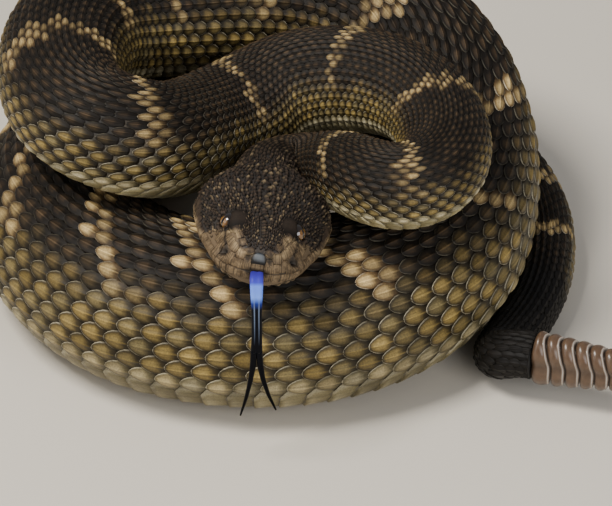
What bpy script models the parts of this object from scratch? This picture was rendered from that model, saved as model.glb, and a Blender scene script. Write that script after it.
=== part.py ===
# Northern Pacific rattlesnake, coiled, head toward the viewer, tongue out.
# A still, life-size model. Lengths below are in millimetres and are turned to metres at the end.
# The body is one winding tube cut into lengths, so its lengths are lofts between unlike rings.

import math

import bmesh
import bpy
import numpy as np
from mathutils import Vector

MM = 0.001

# The foot of the model's bounding box, in the millimetre frame of the route below.
BASE = (12.5, -1.2, 0.0)

GAP = 0.3
RING = 24
STEP = 4.6
HEAD_LENGTH = 36.7

# The head's axis runs straight from the lips to the nape.
LIP_TIP = (0.8, -67.2, 50.0)
NAPE = (2.5, -30.8, 46.2)
HEAD_LEAN = 9.0

# The route of the body from the nape to the root of the rattle: x, y, z, radius, lean.
# Lean is in degrees and tips the back toward the body's own left-hand side.
ROUTE = [
    (2.5, -30.8, 46.2, 8.2, 9),
    (2.9, -23.0, 44.6, 8.2, 7),
    (6.8, -17.2, 42.0, 8.4, 4),
    (14.6, -18.4, 43.0, 8.8, 0),
    (20.2, -26.6, 48.8, 9.2, 0),
    (24.4, -35.4, 52.4, 9.6, 0),
    (31.4, -40.0, 53.0, 9.8, 0),
    (38.8, -37.6, 53.2, 10.0, 0),
    (43.0, -30.6, 53.6, 10.2, 0),
    (43.2, -21.4, 54.4, 10.5, 0),
    (40.4, -11.6, 54.8, 10.9, 0),
    (34.6, -4.0, 55.2, 11.4, 0),
    (26.0, 2.4, 53.8, 12.1, 0),
    (16.5, 6.6, 51.4, 12.5, 0),
    (7.0, 7.8, 48.4, 12.7, 0),
    (-1.5, 4.0, 45.2, 12.8, 0),
    (-10.2, -2.2, 44.2, 13.0, 0),
    (-17.2, -12.4, 47.4, 13.2, 0),
    (-24.4, -20.4, 52.4, 13.4, 0),
    (-33.4, -21.0, 55.6, 13.5, 0),
    (-40.8, -15.6, 56.8, 13.6, 0),
    (-44.4, -6.8, 57.2, 13.9, 0),
    (-45.0, 3.6, 56.8, 14.3, 0),
    (-44.0, 14.6, 55.6, 14.8, 0),
    (-39.5, 25.6, 54.0, 15.4, 0),
    (-30.0, 34.0, 52.0, 16.0, 0),
    (-17.5, 39.2, 50.4, 16.8, 0),
    (-2.5, 43.4, 49.0, 17.5, 0),
    (14.0, 45.0, 47.0, 18.3, 0),
    (31.0, 40.0, 43.0, 19.0, 0),
    (43.0, 26.0, 36.0, 19.5, 4),
    (46.8, 8.0, 27.2, 19.6, 8),
    (44.6, -12.0, 21.6, 20.2, 14),
    (35.4, -28.6, 19.4, 20.4, 18),
    (19.2, -40.0, 19.2, 20.5, 18),
    (-0.8, -43.8, 19.2, 20.5, 18),
    (-20.8, -39.0, 19.2, 20.5, 18),
    (-36.2, -27.4, 19.2, 20.4, 18),
    (-45.4, -10.6, 18.9, 20.0, 14),
    (-47.0, 8.0, 18.2, 19.3, 8),
    (-41.0, 26.5, 17.2, 18.2, 4),
    (-29.5, 42.0, 16.0, 17.0, 0),
    (-12.5, 52.0, 14.7, 15.6, 0),
    (7.0, 56.5, 13.2, 14.0, 0),
    (27.5, 54.0, 11.7, 12.4, 0),
    (46.0, 45.0, 10.2, 10.8, 0),
    (60.0, 30.5, 8.9, 9.4, 0),
    (67.0, 12.5, 7.7, 8.2, 0),
    (67.6, -5.0, 6.8, 7.2, 0),
    (64.8, -19.6, 6.1, 6.5, 0),
    (59.8, -30.6, 5.9, 6.1, 0),
    (55.4, -38.6, 6.6, 5.9, 0),
    (55.2, -43.4, 9.0, 5.8, 0),
    (59.4, -45.6, 11.7, 5.6, 0),
    (63.2, -47.0, 11.6, 5.4, 0),
]

# Where the body is cut into lengths, in millimetres along the route from the lips.
LENGTHS = [
    ("neck_1", 36.7, 69.0),
    ("neck_2", 69.0, 100.0),
    ("neck_3", 100.0, 126.0),
    ("forebody_1", 126.0, 158.0),
    ("forebody_2", 158.0, 194.0),
    ("forebody_3", 194.0, 230.0),
    ("forebody_4", 230.0, 264.0),
    ("forebody_5", 264.0, 304.0),
    ("midbody_1", 304.0, 346.0),
    ("midbody_2", 346.0, 388.0),
    ("midbody_3", 388.0, 430.0),
    ("midbody_4", 430.0, 474.0),
    ("midbody_5", 474.0, 518.0),
    ("midbody_6", 518.0, 562.0),
    ("hindbody_1", 562.0, 608.0),
    ("hindbody_2", 608.0, 652.0),
    ("hindbody_3", 652.0, 694.0),
    ("tail_1", 694.0, 732.0),
    ("tail_2", 732.0, 0.0),
]

# Head stations from the lips back: distance, half width, crown height, chin depth, squareness.
HEAD = [
    (0.0, 2.6, 0.8, 1.6, 2.2),
    (0.35, 4.2, 2.4, 3.2, 2.3),
    (1.2, 6.2, 3.9, 4.3, 2.4),
    (2.6, 8.1, 5.2, 4.8, 2.8),
    (4.6, 9.9, 6.2, 5.2, 3.0),
    (7.2, 11.1, 6.9, 5.4, 3.1),
    (10.2, 12.3, 7.4, 5.5, 3.0),
    (13.4, 13.7, 7.9, 5.8, 2.8),
    (17.0, 14.6, 8.4, 6.0, 2.5),
    (21.0, 15.4, 8.8, 6.2, 2.4),
    (24.6, 15.8, 9.1, 6.5, 2.3),
    (28.0, 15.1, 9.2, 6.7, 2.2),
    (31.0, 13.3, 9.1, 6.9, 2.1),
    (33.6, 11.0, 8.9, 7.1, 2.0),
    (36.7, 8.4, 8.9, 7.3, 2.0),
]


# How much the head narrows from the lips up to the crown, at distances from the lips.
TAPER_AT = [0.0, 4.0, 11.0, 16.0, 22.0, 30.0]
TAPER = [0.20, 0.29, 0.32, 0.25, 0.10, 0.0]

# Middle of each eye and each pit: distance from the lips, sideways and upward of the axis.
EYE = (12.1, 7.8, 4.4)
PIT = (4.2, 8.3, 1.3)


def clear_scene():
    for ob in list(bpy.data.objects):
        bpy.data.objects.remove(ob, do_unlink=True)


def collection(name):
    col = bpy.data.collections.new(name)
    bpy.context.scene.collection.children.link(col)
    return col


def material(name, rgb, rough, metal=0.0):
    mat = bpy.data.materials.new(name)
    mat.use_nodes = True
    node = mat.node_tree.nodes["Principled BSDF"]
    node.inputs["Base Color"].default_value = (rgb[0], rgb[1], rgb[2], 1.0)
    node.inputs["Roughness"].default_value = rough
    node.inputs["Metallic"].default_value = metal
    return mat


def route_curve():
    """Smooth route from the lips to the rattle: points, radius, lean and arc length."""
    tip = np.array(LIP_TIP + (8.2, HEAD_LEAN))
    nape = np.array(NAPE + (8.2, HEAD_LEAN))
    head = [tip + (nape - tip) * k / 5.0 for k in range(5)]
    knots = np.vstack([head, np.array(ROUTE, dtype=float)])
    knots = np.vstack([2 * knots[0] - knots[1], knots, 2 * knots[-1] - knots[-2]])
    u = np.linspace(0.0, 1.0, 40, endpoint=False)[:, None]
    parts = []
    for i in range(1, len(knots) - 2):
        a, b, c, d = knots[i - 1], knots[i], knots[i + 1], knots[i + 2]
        parts.append(((1 - u) ** 3 * a + (3 * u ** 3 - 6 * u ** 2 + 4) * b
                      + (-3 * u ** 3 + 3 * u ** 2 + 3 * u + 1) * c + u ** 3 * d) / 6.0)
    parts.append(knots[-2:-1])
    line = np.vstack(parts)
    steps = np.linalg.norm(np.diff(line[:, :3], axis=0), axis=1)
    arc = np.concatenate([[0.0], np.cumsum(steps)])
    return line, arc


LINE, ARC = route_curve()
END = float(ARC[-1])


def sample(s, column):
    return np.interp(s, ARC, LINE[:, column])


def point_at(s):
    return np.array([sample(s, 0), sample(s, 1), sample(s, 2)])


def frame_at(s):
    """Centre, tangent, side and back direction of the body at distance s."""
    c = point_at(s)
    h = 1.2
    t = point_at(min(s + h, END)) - point_at(max(s - h, 0.0))
    t /= np.linalg.norm(t)
    up = np.array([0.0, 0.0, 1.0]) - t * t[2]
    up /= np.linalg.norm(up)
    side = np.cross(t, up)
    lean = math.radians(float(sample(s, 4)))
    back = math.cos(lean) * up + math.sin(lean) * side
    side = math.cos(lean) * side - math.sin(lean) * up
    return c, t, side, back


def bend_at(s):
    """Direction toward the bend's centre and how far away that centre is."""
    h = 3.0
    a, b, c = point_at(max(s - h, 0.0)), point_at(s), point_at(min(s + h, END))
    t0 = (b - a) / max(np.linalg.norm(b - a), 1e-6)
    t1 = (c - b) / max(np.linalg.norm(c - b), 1e-6)
    turn = (t1 - t0) / (0.5 * (np.linalg.norm(b - a) + np.linalg.norm(c - b)) + 1e-9)
    k = float(np.linalg.norm(turn))
    if k < 1e-4:
        return np.zeros(3), 1e4
    return turn / k, 1.0 / k


def body_ring(s, count=RING, grow=0.0):
    """One ring of the body: round back, belly a little flat, inner side of a bend pressed in."""
    c, t, side, back = frame_at(s)
    r = float(sample(s, 3)) + grow
    inward, reach = bend_at(s)
    pts = []
    for i in range(count):
        a = 2.0 * math.pi * i / count
        x = r * math.sin(a)
        y = r * math.cos(a)
        y = max(y, -0.93 * r)
        d = side * x + back * y
        over = float(np.dot(d, inward)) - 0.80 * reach
        if over > 0.0:
            d = d - inward * over * 0.92
        p = c + d
        p[2] = max(p[2], 0.0)
        pts.append(p)
    return pts


def head_value(s, column):
    table = np.array(HEAD)
    return float(np.interp(s, table[:, 0], table[:, column]))


def head_ring(s, count=RING):
    """One ring of the head: flat crown, wide cheeks, shallow chin."""
    c, t, side, back = frame_at(s)
    w, top, low, sq = (head_value(s, k) for k in (1, 2, 3, 4))
    taper = float(np.interp(s, TAPER_AT, TAPER))
    pts = []
    for i in range(count):
        a = 2.0 * math.pi * i / count
        sx, cy = math.sin(a), math.cos(a)
        x = w * math.copysign(abs(sx) ** (2.0 / sq), sx)
        y = math.copysign(abs(cy) ** (2.0 / sq), cy)
        if y > 0.0:
            x *= 1.0 - taper * y ** 0.6
            y *= top
        else:
            x *= 1.0 - 0.22 * (-y) ** 2
            y *= low
        pts.append(c + side * x + back * y)
    return pts


def loft(name, rings, col, mat):
    """A closed solid skinned over a row of rings with a flat cap at each end."""
    bm = bmesh.new()
    rows = [[bm.verts.new([(p[k] - BASE[k]) * MM for k in range(3)]) for p in ring]
            for ring in rings]
    n = len(rows[0])
    for a, b in zip(rows, rows[1:]):
        for i in range(n):
            j = (i + 1) % n
            bm.faces.new((a[i], a[j], b[j], b[i]))
    bm.faces.new(list(reversed(rows[0])))
    bm.faces.new(rows[-1])
    bmesh.ops.triangulate(bm, faces=list(bm.faces))
    bmesh.ops.recalc_face_normals(bm, faces=list(bm.faces))
    me = bpy.data.meshes.new(name)
    bm.to_mesh(me)
    bm.free()
    ob = bpy.data.objects.new(name, me)
    me.materials.append(mat)
    col.objects.link(ob)
    return ob


def ball(name, centre, size, axes, col, mat, seg=16, rows=10):
    """An ellipsoid with its three half sizes along the given axes."""
    rings = []
    for k in range(1, rows):
        v = math.pi * k / rows
        ring = []
        for i in range(seg):
            a = 2.0 * math.pi * i / seg
            d = (axes[0] * size[0] * math.cos(v)
                 + axes[1] * size[1] * math.sin(v) * math.cos(a)
                 + axes[2] * size[2] * math.sin(v) * math.sin(a))
            ring.append(np.array(centre) + d)
        rings.append(ring)
    bm = bmesh.new()
    rows_v = [[bm.verts.new([(p[k] - BASE[k]) * MM for k in range(3)]) for p in ring]
              for ring in rings]
    poles = []
    for sign in (1.0, -1.0):
        p = np.array(centre) + axes[0] * size[0] * sign
        poles.append(bm.verts.new([(p[k] - BASE[k]) * MM for k in range(3)]))
    for a, b in zip(rows_v, rows_v[1:]):
        for i in range(seg):
            j = (i + 1) % seg
            bm.faces.new((a[i], a[j], b[j], b[i]))
    for i in range(seg):
        j = (i + 1) % seg
        bm.faces.new((poles[0], rows_v[0][j], rows_v[0][i]))
        bm.faces.new((poles[1], rows_v[-1][i], rows_v[-1][j]))
    bmesh.ops.recalc_face_normals(bm, faces=list(bm.faces))
    me = bpy.data.meshes.new(name)
    bm.to_mesh(me)
    bm.free()
    ob = bpy.data.objects.new(name, me)
    if mat is not None:
        me.materials.append(mat)
    col.objects.link(ob)
    return ob


def head_point(s, x, y):
    c, t, side, back = frame_at(s)
    return c + side * x + back * y


def head_axes(s):
    c, t, side, back = frame_at(s)
    return t, side, back


def slab(name, profile, half, col):
    """A side-view profile of the head drawn out across it."""
    rings = []
    for x in (-half, half):
        rings.append([head_point(max(s, 0.0), x, y) + head_axes(0.0)[0] * min(s, 0.0)
                      for s, y in profile])
    bm = bmesh.new()
    rows = [[bm.verts.new([(p[k] - BASE[k]) * MM for k in range(3)]) for p in ring]
            for ring in rings]
    n = len(profile)
    for i in range(n):
        j = (i + 1) % n
        bm.faces.new((rows[0][i], rows[0][j], rows[1][j], rows[1][i]))
    bm.faces.new(list(reversed(rows[0])))
    bm.faces.new(rows[1])
    bmesh.ops.recalc_face_normals(bm, faces=list(bm.faces))
    me = bpy.data.meshes.new(name)
    bm.to_mesh(me)
    bm.free()
    ob = bpy.data.objects.new(name, me)
    col.objects.link(ob)
    return ob


def boolean(ob, cutter, kind):
    mod = ob.modifiers.new("%s_%s" % (kind.lower(), cutter.name), "BOOLEAN")
    mod.operation = kind
    mod.solver = "EXACT"
    mod.object = cutter
    cutter.hide_render = True
    cutter.display_type = "WIRE"
    return mod


def build_lengths(col, skin, tail_skin):
    """The neck, body and tail as lengths that meet face to face."""
    for name, start, stop in LENGTHS:
        stop = stop if stop > 0.0 else END
        a, b = start + GAP / 2, stop - GAP / 2
        step = min(STEP, 0.42 * float(sample((a + b) / 2, 3)))
        count = max(4, int(round((b - a) / step)) + 1)
        rings = [body_ring(s) for s in np.linspace(a, b, count)]
        loft(name, rings, col, tail_skin if name.startswith("tail") else skin)


MOUTH_UP = [(-3.0, 0.15), (3.0, 0.15), (9.0, -0.25), (15.0, -0.35), (20.0, 0.25),
            (24.0, 1.15), (26.0, 1.3), (26.2, -12.0), (-3.0, -12.0)]
MOUTH_LOW = [(-3.0, -0.2), (3.0, -0.2), (9.0, -0.6), (15.0, -0.7), (20.0, -0.1),
             (24.0, 0.8), (25.8, 0.95), (25.85, -12.0), (-3.0, -12.0)]


def build_head(col, cut, skin, jaw_skin, eye_mat):
    """Head and lower jaw split along the line of the mouth, eyes set in their sockets."""
    stations = [row[0] for row in HEAD]
    stations[-1] = HEAD_LENGTH - GAP / 2
    rings = [head_ring(s) for s in stations]
    head = loft("head", rings, col, skin)
    jaw = loft("lower_jaw", rings, col, jaw_skin)
    t, side, back = head_axes(EYE[0])
    for sign, label in ((1.0, "left"), (-1.0, "right")):
        brow = ball("brow_" + label, head_point(11.6, sign * 6.3, 6.5), (3.4, 2.4, 1.0),
                    (t, (side + 0.28 * sign * -back), back), cut, None)
        boolean(head, brow, "UNION")
    boolean(head, slab("mouth_upper_cut", MOUTH_UP, 22.0, cut), "DIFFERENCE")
    boolean(jaw, slab("mouth_lower_cut", MOUTH_LOW, 22.0, cut), "INTERSECT")
    for sign, label in ((1.0, "left"), (-1.0, "right")):
        centre = head_point(EYE[0], sign * EYE[1], EYE[2])
        socket = ball("socket_" + label, centre, (2.5, 2.5, 2.5), (t, side, back), cut, None)
        boolean(head, socket, "DIFFERENCE")
        ball("eye_" + label, centre, (2.2, 2.2, 2.2), (t, side, back), col, eye_mat)
        nostril = ball("nostril_cut_" + label, head_point(1.0, sign * 3.2, 2.9),
                       (0.8, 0.55, 0.8), (t, side, back), cut, None, 12, 8)
        boolean(head, nostril, "DIFFERENCE")
        pit = ball("pit_cut_" + label, head_point(PIT[0], sign * PIT[1], PIT[2]),
                   (0.9, 1.1, 0.9), (t, side, back), cut, None, 12, 8)
        boolean(head, pit, "DIFFERENCE")
    mouth = ball("tongue_way", head_point(0.4, 0.0, -0.05), (5.2, 1.75, 0.95),
                 (t, side, back), cut, None, 16, 10)
    boolean(head, mouth, "DIFFERENCE")
    boolean(jaw, mouth, "DIFFERENCE")
    return head, jaw


# Middle line of the tongue and its two tips: x, y, z, half width, half thickness.
TONGUE_STEM = [
    (0.9, -65.0, 49.8, 1.0, 0.42),
    (0.85, -66.8, 50.0, 1.4, 0.5),
    (0.8, -68.8, 49.9, 1.5, 0.5),
    (0.8, -70.5, 48.6, 1.45, 0.5),
    (0.8, -71.3, 46.0, 1.4, 0.5),
    (0.8, -71.5, 42.0, 1.35, 0.55),
    (0.8, -71.3, 36.0, 1.3, 0.55),
    (0.7, -71.0, 31.0, 1.3, 0.55),
]
TINE_LEFT = [
    (0.1, -71.0, 31.4, 0.7, 0.5),
    (-0.1, -70.9, 27.5, 0.7, 0.5),
    (-0.7, -70.8, 23.0, 0.55, 0.45),
    (-1.7, -70.6, 18.0, 0.42, 0.38),
    (-3.0, -70.4, 13.0, 0.28, 0.26),
]
TINE_RIGHT = [
    (1.3, -71.0, 31.4, 0.7, 0.5),
    (1.45, -70.9, 27.5, 0.7, 0.5),
    (2.1, -71.0, 23.4, 0.55, 0.45),
    (3.3, -71.2, 19.2, 0.42, 0.38),
    (4.9, -71.5, 15.4, 0.28, 0.26),
]


def strip_rings(table, count, seg):
    """Oval rings along a hand-placed line, widest across the world's X."""
    line = np.array(table)
    d = np.linalg.norm(np.diff(line[:, :3], axis=0), axis=1)
    at = np.concatenate([[0.0], np.cumsum(d)])
    rings = []
    for s in np.linspace(0.0, at[-1], count):
        row = np.array([np.interp(s, at, line[:, k]) for k in range(5)])
        a = np.array([np.interp(s - 0.5, at, line[:, k]) for k in range(3)])
        b = np.array([np.interp(s + 0.5, at, line[:, k]) for k in range(3)])
        t = (b - a) / np.linalg.norm(b - a)
        wide = np.array([1.0, 0.0, 0.0]) - t * t[0]
        wide /= np.linalg.norm(wide)
        thin = np.cross(t, wide)
        rings.append([row[:3] + wide * row[3] * math.cos(2 * math.pi * i / seg)
                      + thin * row[4] * math.sin(2 * math.pi * i / seg) for i in range(seg)])
    return rings


def build_tongue(col, cut, mat):
    """A forked tongue that comes out at the notch of the lips and hangs down."""
    stem = loft("tongue", strip_rings(TONGUE_STEM, 16, 12), col, mat)
    for label, table in (("left", TINE_LEFT), ("right", TINE_RIGHT)):
        tine = loft("tine_" + label, strip_rings(table, 9, 10), cut, mat)
        boolean(stem, tine, "UNION")
    return stem


RATTLE_PITCH = 3.4
RATTLE_COUNT = 8


def build_rattle(col, mat):
    """Loose-looking horny rings in a row: each swells, then necks in, and has a groove."""
    c, t, side, back = frame_at(END - 1.0)
    start = point_at(END) + t * GAP
    rings = []
    marks = []
    for k in range(RATTLE_COUNT):
        for f, swell in ((0.0, 0.80), (0.22, 0.97), (0.5, 1.0), (0.78, 0.95)):
            marks.append(((k + f) * RATTLE_PITCH, swell))
    total = RATTLE_COUNT * RATTLE_PITCH
    marks.append((total - 0.1, 0.72))
    marks.append((total + 1.3, 0.34))
    for d, swell in marks:
        q = d / total
        half_h = (7.1 - 2.6 * q ** 1.3) * swell
        half_w = (4.9 - 1.6 * q) * swell
        lift = np.array([0.0, 0.0, 1.6 * q])
        ends = min(1.0, d / 2.7, max(0.0, (total - d) / 3.4))
        centre = start + t * d + lift
        ring = []
        for i in range(20):
            a = 2 * math.pi * i / 20
            pinch = 1.0 - 0.16 * math.exp(-(math.cos(a) / 0.30) ** 2)
            bow = (1.2 - 0.7 * math.cos(a) - 1.2 * math.cos(a) ** 2) * ends
            p = (centre + t * bow + side * half_w * pinch * math.sin(a)
                 + back * half_h * math.cos(a))
            p[2] = max(p[2], 0.0)
            ring.append(p)
        rings.append(ring)
    return loft("rattle", rings, col, mat)


def main():
    clear_scene()
    parts = collection("parts")
    cutters = collection("cutters")
    skin = material("snake_skin", (0.20, 0.17, 0.10), 0.55)
    head_skin = material("head_skin", (0.10, 0.085, 0.065), 0.55)
    jaw_skin = material("jaw_skin", (0.48, 0.40, 0.26), 0.55)
    tail_skin = material("tail_skin", (0.035, 0.032, 0.030), 0.5)
    eye_mat = material("eye", (0.45, 0.25, 0.06), 0.1)
    tongue_mat = material("tongue_flesh", (0.05, 0.07, 0.22), 0.3)
    horn = material("rattle_horn", (0.42, 0.28, 0.17), 0.4)
    build_lengths(parts, skin, tail_skin)
    build_head(parts, cutters, head_skin, jaw_skin, eye_mat)
    build_tongue(parts, cutters, tongue_mat)
    build_rattle(parts, horn)


main()
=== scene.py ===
"""Northern Pacific rattlesnake, coiled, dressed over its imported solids."""

import math

import bmesh
import bpy
import numpy as np
from bpy.props import FloatProperty, FloatVectorProperty, PointerProperty
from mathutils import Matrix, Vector


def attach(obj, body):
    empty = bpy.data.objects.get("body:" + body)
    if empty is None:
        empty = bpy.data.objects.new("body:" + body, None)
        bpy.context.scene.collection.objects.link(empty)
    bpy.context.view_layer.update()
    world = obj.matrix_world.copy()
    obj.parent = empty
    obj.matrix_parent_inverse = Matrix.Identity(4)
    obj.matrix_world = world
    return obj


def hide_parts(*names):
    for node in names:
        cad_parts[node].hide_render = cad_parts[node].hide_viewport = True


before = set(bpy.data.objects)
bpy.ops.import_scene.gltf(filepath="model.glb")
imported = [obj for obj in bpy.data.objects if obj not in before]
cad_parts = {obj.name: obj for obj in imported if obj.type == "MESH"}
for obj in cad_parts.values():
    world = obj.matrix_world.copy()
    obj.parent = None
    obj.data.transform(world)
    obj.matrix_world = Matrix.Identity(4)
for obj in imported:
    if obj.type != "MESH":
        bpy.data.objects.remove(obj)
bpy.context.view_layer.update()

bl_info = {
    "name": "Coiled rattlesnake",
    "version": (1, 0, 0),
    "blender": (4, 5, 0),
    "location": "View3D > Sidebar > Rattlesnake",
    "description": "Skin, scales, eyes, tongue and rattle of a coiled rattlesnake",
    "category": "Add Mesh",
}

MM = 0.001
# Middle of the footprint in the millimetre frame of the route.
BASE = np.array([12.5, -1.2, 0.0])
# The head's axis from lips to nape, its radius there and its lean in degrees.
LIP_TIP = (0.8, -67.2, 50.0)
NAPE = (2.5, -30.8, 46.2)
NAPE_RADIUS = 8.2
HEAD_LEAN = 9.0

# x, y, z, radius and lean in degrees of the body from the nape to the root of the rattle.
ROUTE = [
    (2.5, -30.8, 46.2, 8.2, 9), (2.9, -23.0, 44.6, 8.2, 7), (6.8, -17.2, 42.0, 8.4, 4),
    (14.6, -18.4, 43.0, 8.8, 0), (20.2, -26.6, 48.8, 9.2, 0), (24.4, -35.4, 52.4, 9.6, 0),
    (31.4, -40.0, 53.0, 9.8, 0), (38.8, -37.6, 53.2, 10.0, 0), (43.0, -30.6, 53.6, 10.2, 0),
    (43.2, -21.4, 54.4, 10.5, 0), (40.4, -11.6, 54.8, 10.9, 0), (34.6, -4.0, 55.2, 11.4, 0),
    (26.0, 2.4, 53.8, 12.1, 0), (16.5, 6.6, 51.4, 12.5, 0), (7.0, 7.8, 48.4, 12.7, 0),
    (-1.5, 4.0, 45.2, 12.8, 0), (-10.2, -2.2, 44.2, 13.0, 0), (-17.2, -12.4, 47.4, 13.2, 0),
    (-24.4, -20.4, 52.4, 13.4, 0), (-33.4, -21.0, 55.6, 13.5, 0), (-40.8, -15.6, 56.8, 13.6, 0),
    (-44.4, -6.8, 57.2, 13.9, 0), (-45.0, 3.6, 56.8, 14.3, 0), (-44.0, 14.6, 55.6, 14.8, 0),
    (-39.5, 25.6, 54.0, 15.4, 0), (-30.0, 34.0, 52.0, 16.0, 0), (-17.5, 39.2, 50.4, 16.8, 0),
    (-2.5, 43.4, 49.0, 17.5, 0), (14.0, 45.0, 47.0, 18.3, 0), (31.0, 40.0, 43.0, 19.0, 0),
    (43.0, 26.0, 36.0, 19.5, 4), (46.8, 8.0, 27.2, 19.6, 8), (44.6, -12.0, 21.6, 20.2, 14),
    (35.4, -28.6, 19.4, 20.4, 18), (19.2, -40.0, 19.2, 20.5, 18), (-0.8, -43.8, 19.2, 20.5, 18),
    (-20.8, -39.0, 19.2, 20.5, 18), (-36.2, -27.4, 19.2, 20.4, 18), (-45.4, -10.6, 18.9, 20.0, 14),
    (-47.0, 8.0, 18.2, 19.3, 8), (-41.0, 26.5, 17.2, 18.2, 4), (-29.5, 42.0, 16.0, 17.0, 0),
    (-12.5, 52.0, 14.7, 15.6, 0), (7.0, 56.5, 13.2, 14.0, 0), (27.5, 54.0, 11.7, 12.4, 0),
    (46.0, 45.0, 10.2, 10.8, 0), (60.0, 30.5, 8.9, 9.4, 0), (67.0, 12.5, 7.7, 8.2, 0),
    (67.6, -5.0, 6.8, 7.2, 0), (64.8, -19.6, 6.1, 6.5, 0), (59.8, -30.6, 5.9, 6.1, 0),
    (55.4, -38.6, 6.6, 5.9, 0), (55.2, -43.4, 9.0, 5.8, 0), (59.4, -45.6, 11.7, 5.6, 0),
    (63.2, -47.0, 11.6, 5.4, 0),
]

# Distance from the lips, half width, crown height, chin depth and squareness of the head.
HEAD = np.array([
    (0.0, 2.6, 0.8, 1.6, 2.2), (0.35, 4.2, 2.4, 3.2, 2.3), (1.2, 6.2, 3.9, 4.3, 2.4),
    (2.6, 8.1, 5.2, 4.8, 2.8), (4.6, 9.9, 6.2, 5.2, 3.0), (7.2, 11.1, 6.9, 5.4, 3.1),
    (10.2, 12.3, 7.4, 5.5, 3.0), (13.4, 13.7, 7.9, 5.8, 2.8), (17.0, 14.6, 8.4, 6.0, 2.5),
    (21.0, 15.4, 8.8, 6.2, 2.4), (24.6, 15.8, 9.1, 6.5, 2.3), (28.0, 15.1, 9.2, 6.7, 2.2),
    (31.0, 13.3, 9.1, 6.9, 2.1), (33.6, 11.0, 8.9, 7.1, 2.0), (36.7, 8.4, 8.9, 7.3, 2.0),
    (42.0, 8.3, 8.3, 7.6, 2.0),
])

# How much the head narrows from the lips up to the crown, at distances from the lips.
TAPER_AT = [0.0, 4.0, 11.0, 16.0, 22.0, 30.0]
TAPER = [0.20, 0.29, 0.32, 0.25, 0.10, 0.0]

# Pale crossbars of the back: distance from the lips, and how far each slants headward on
# the flank as a share of the way round.
BARS = np.array([
    (69, -0.8), (90, 0.0), (118, 0.0), (144.5, 0.07), (173, 0.0), (210.5, 0.06), (238, 0.2),
    (260, 0.1), (281, -0.15), (311, 0.2), (344, 0.3), (377, 0.3), (412, 0.62), (446, 0.6),
    (475, 0.66), (499.5, 0.88), (529, 0.9), (552, 0.6), (577, 0.4), (600, 0.4), (623, 0.3),
    (645, 0.3), (666, 0.2), (686, 0.2), (704, 0.2),
])

# Length of body to one row of scales, in millimetres, at distances from the lips.
PITCH_AT = [37, 60, 120, 200, 240, 290, 340, 400, 560, 640, 700, 764]
PITCH = [1.8, 1.95, 2.2, 2.6, 3.1, 3.8, 4.2, 4.4, 4.2, 3.3, 2.7, 2.1]
# Where the tail turns black and where the neck's markings fade out toward the head.
BLACK_FROM, BLACK_TO = 708.0, 722.0
MARKS_FROM, MARKS_TO = 52.0, 38.0
# How much narrower the rows are along the back than low on the flank.
ROW_BIAS = 0.3
# Start, end and number of the long rows of scales, fewer where the body thins.
ROW_SETS = ((37.5, 597.0, 27), (595.0, 702.0, 21), (700.0, 0.0, 15))

# Rows of granules on each side of the middle of the crown.
CROWN_ROWS = 25
# Number of the rattle's rings and the millimetres from one to the next.
RATTLE_RINGS = 8
RING_STEP = 3.4

# Marks of the face: distance from the lips, sideways and upward from the head's axis.
EYE_AT = (12.1, 7.8, 4.4)
PIT_AT = (4.2, 8.3, 1.3)
NOSTRIL_AT = (1.0, 3.2, 2.9)
# How far the skin lies under the solids, so that the scales end near them.
BODY_SINK = 0.35
HEAD_SINK = 0.3
# The belly's flat side as a share of the radius, and where the head passes into the neck.
BELLY_FLAT = 0.93
NECK_FROM, NECK_TO = 33.0, 38.5
# Skin may reach this share of a bend's radius toward its middle, and of what goes past
# that, this share is folded back.
BEND_SHARE, BEND_FOLD = 0.80, 0.92
# Least height over the floor of skin, scales and rattle.
SKIN_FLOOR, SCALE_FLOOR, RATTLE_FLOOR = 0.3, 0.02, 0.05
# Points in one ring of the skin, and triangles in one coat piece at the most.
SKIN_RING = 160
COAT_LIMIT = 190000
# Width and height of one scale's patch in the bake map.
PATCH_U, PATCH_V = 0.0014, 0.0028
# Upper border of the tan mask of the face: distance from the lips, height above the axis.
TAN_AT = [0.0, 2.0, 3.1, 4.5, 6.4, 7.6, 8.6, 10.2, 11.3, 12.7, 14.0, 24.0]
TAN_UP = [3.7, 4.0, 4.4, 5.2, 5.8, 5.3, 3.2, 2.9, 2.5, 0.3, 0.1, 0.1]


def smooth(a, b, x):
    t = np.clip((x - a) / (b - a), 0.0, 1.0)
    return t * t * (3.0 - 2.0 * t)


def unit(v):
    return v / np.maximum(np.linalg.norm(v, axis=-1, keepdims=True), 1e-9)


def run_of(points):
    """Distance along a line of points from its first point."""
    steps = np.linalg.norm(np.diff(points, axis=0), axis=1)
    return np.concatenate([[0.0], np.cumsum(steps)])


def look_up(at, where, table, columns):
    """Columns of a table at new places, by straight interpolation."""
    return np.stack([np.interp(at, where, table[:, k]) for k in columns], -1)


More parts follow.
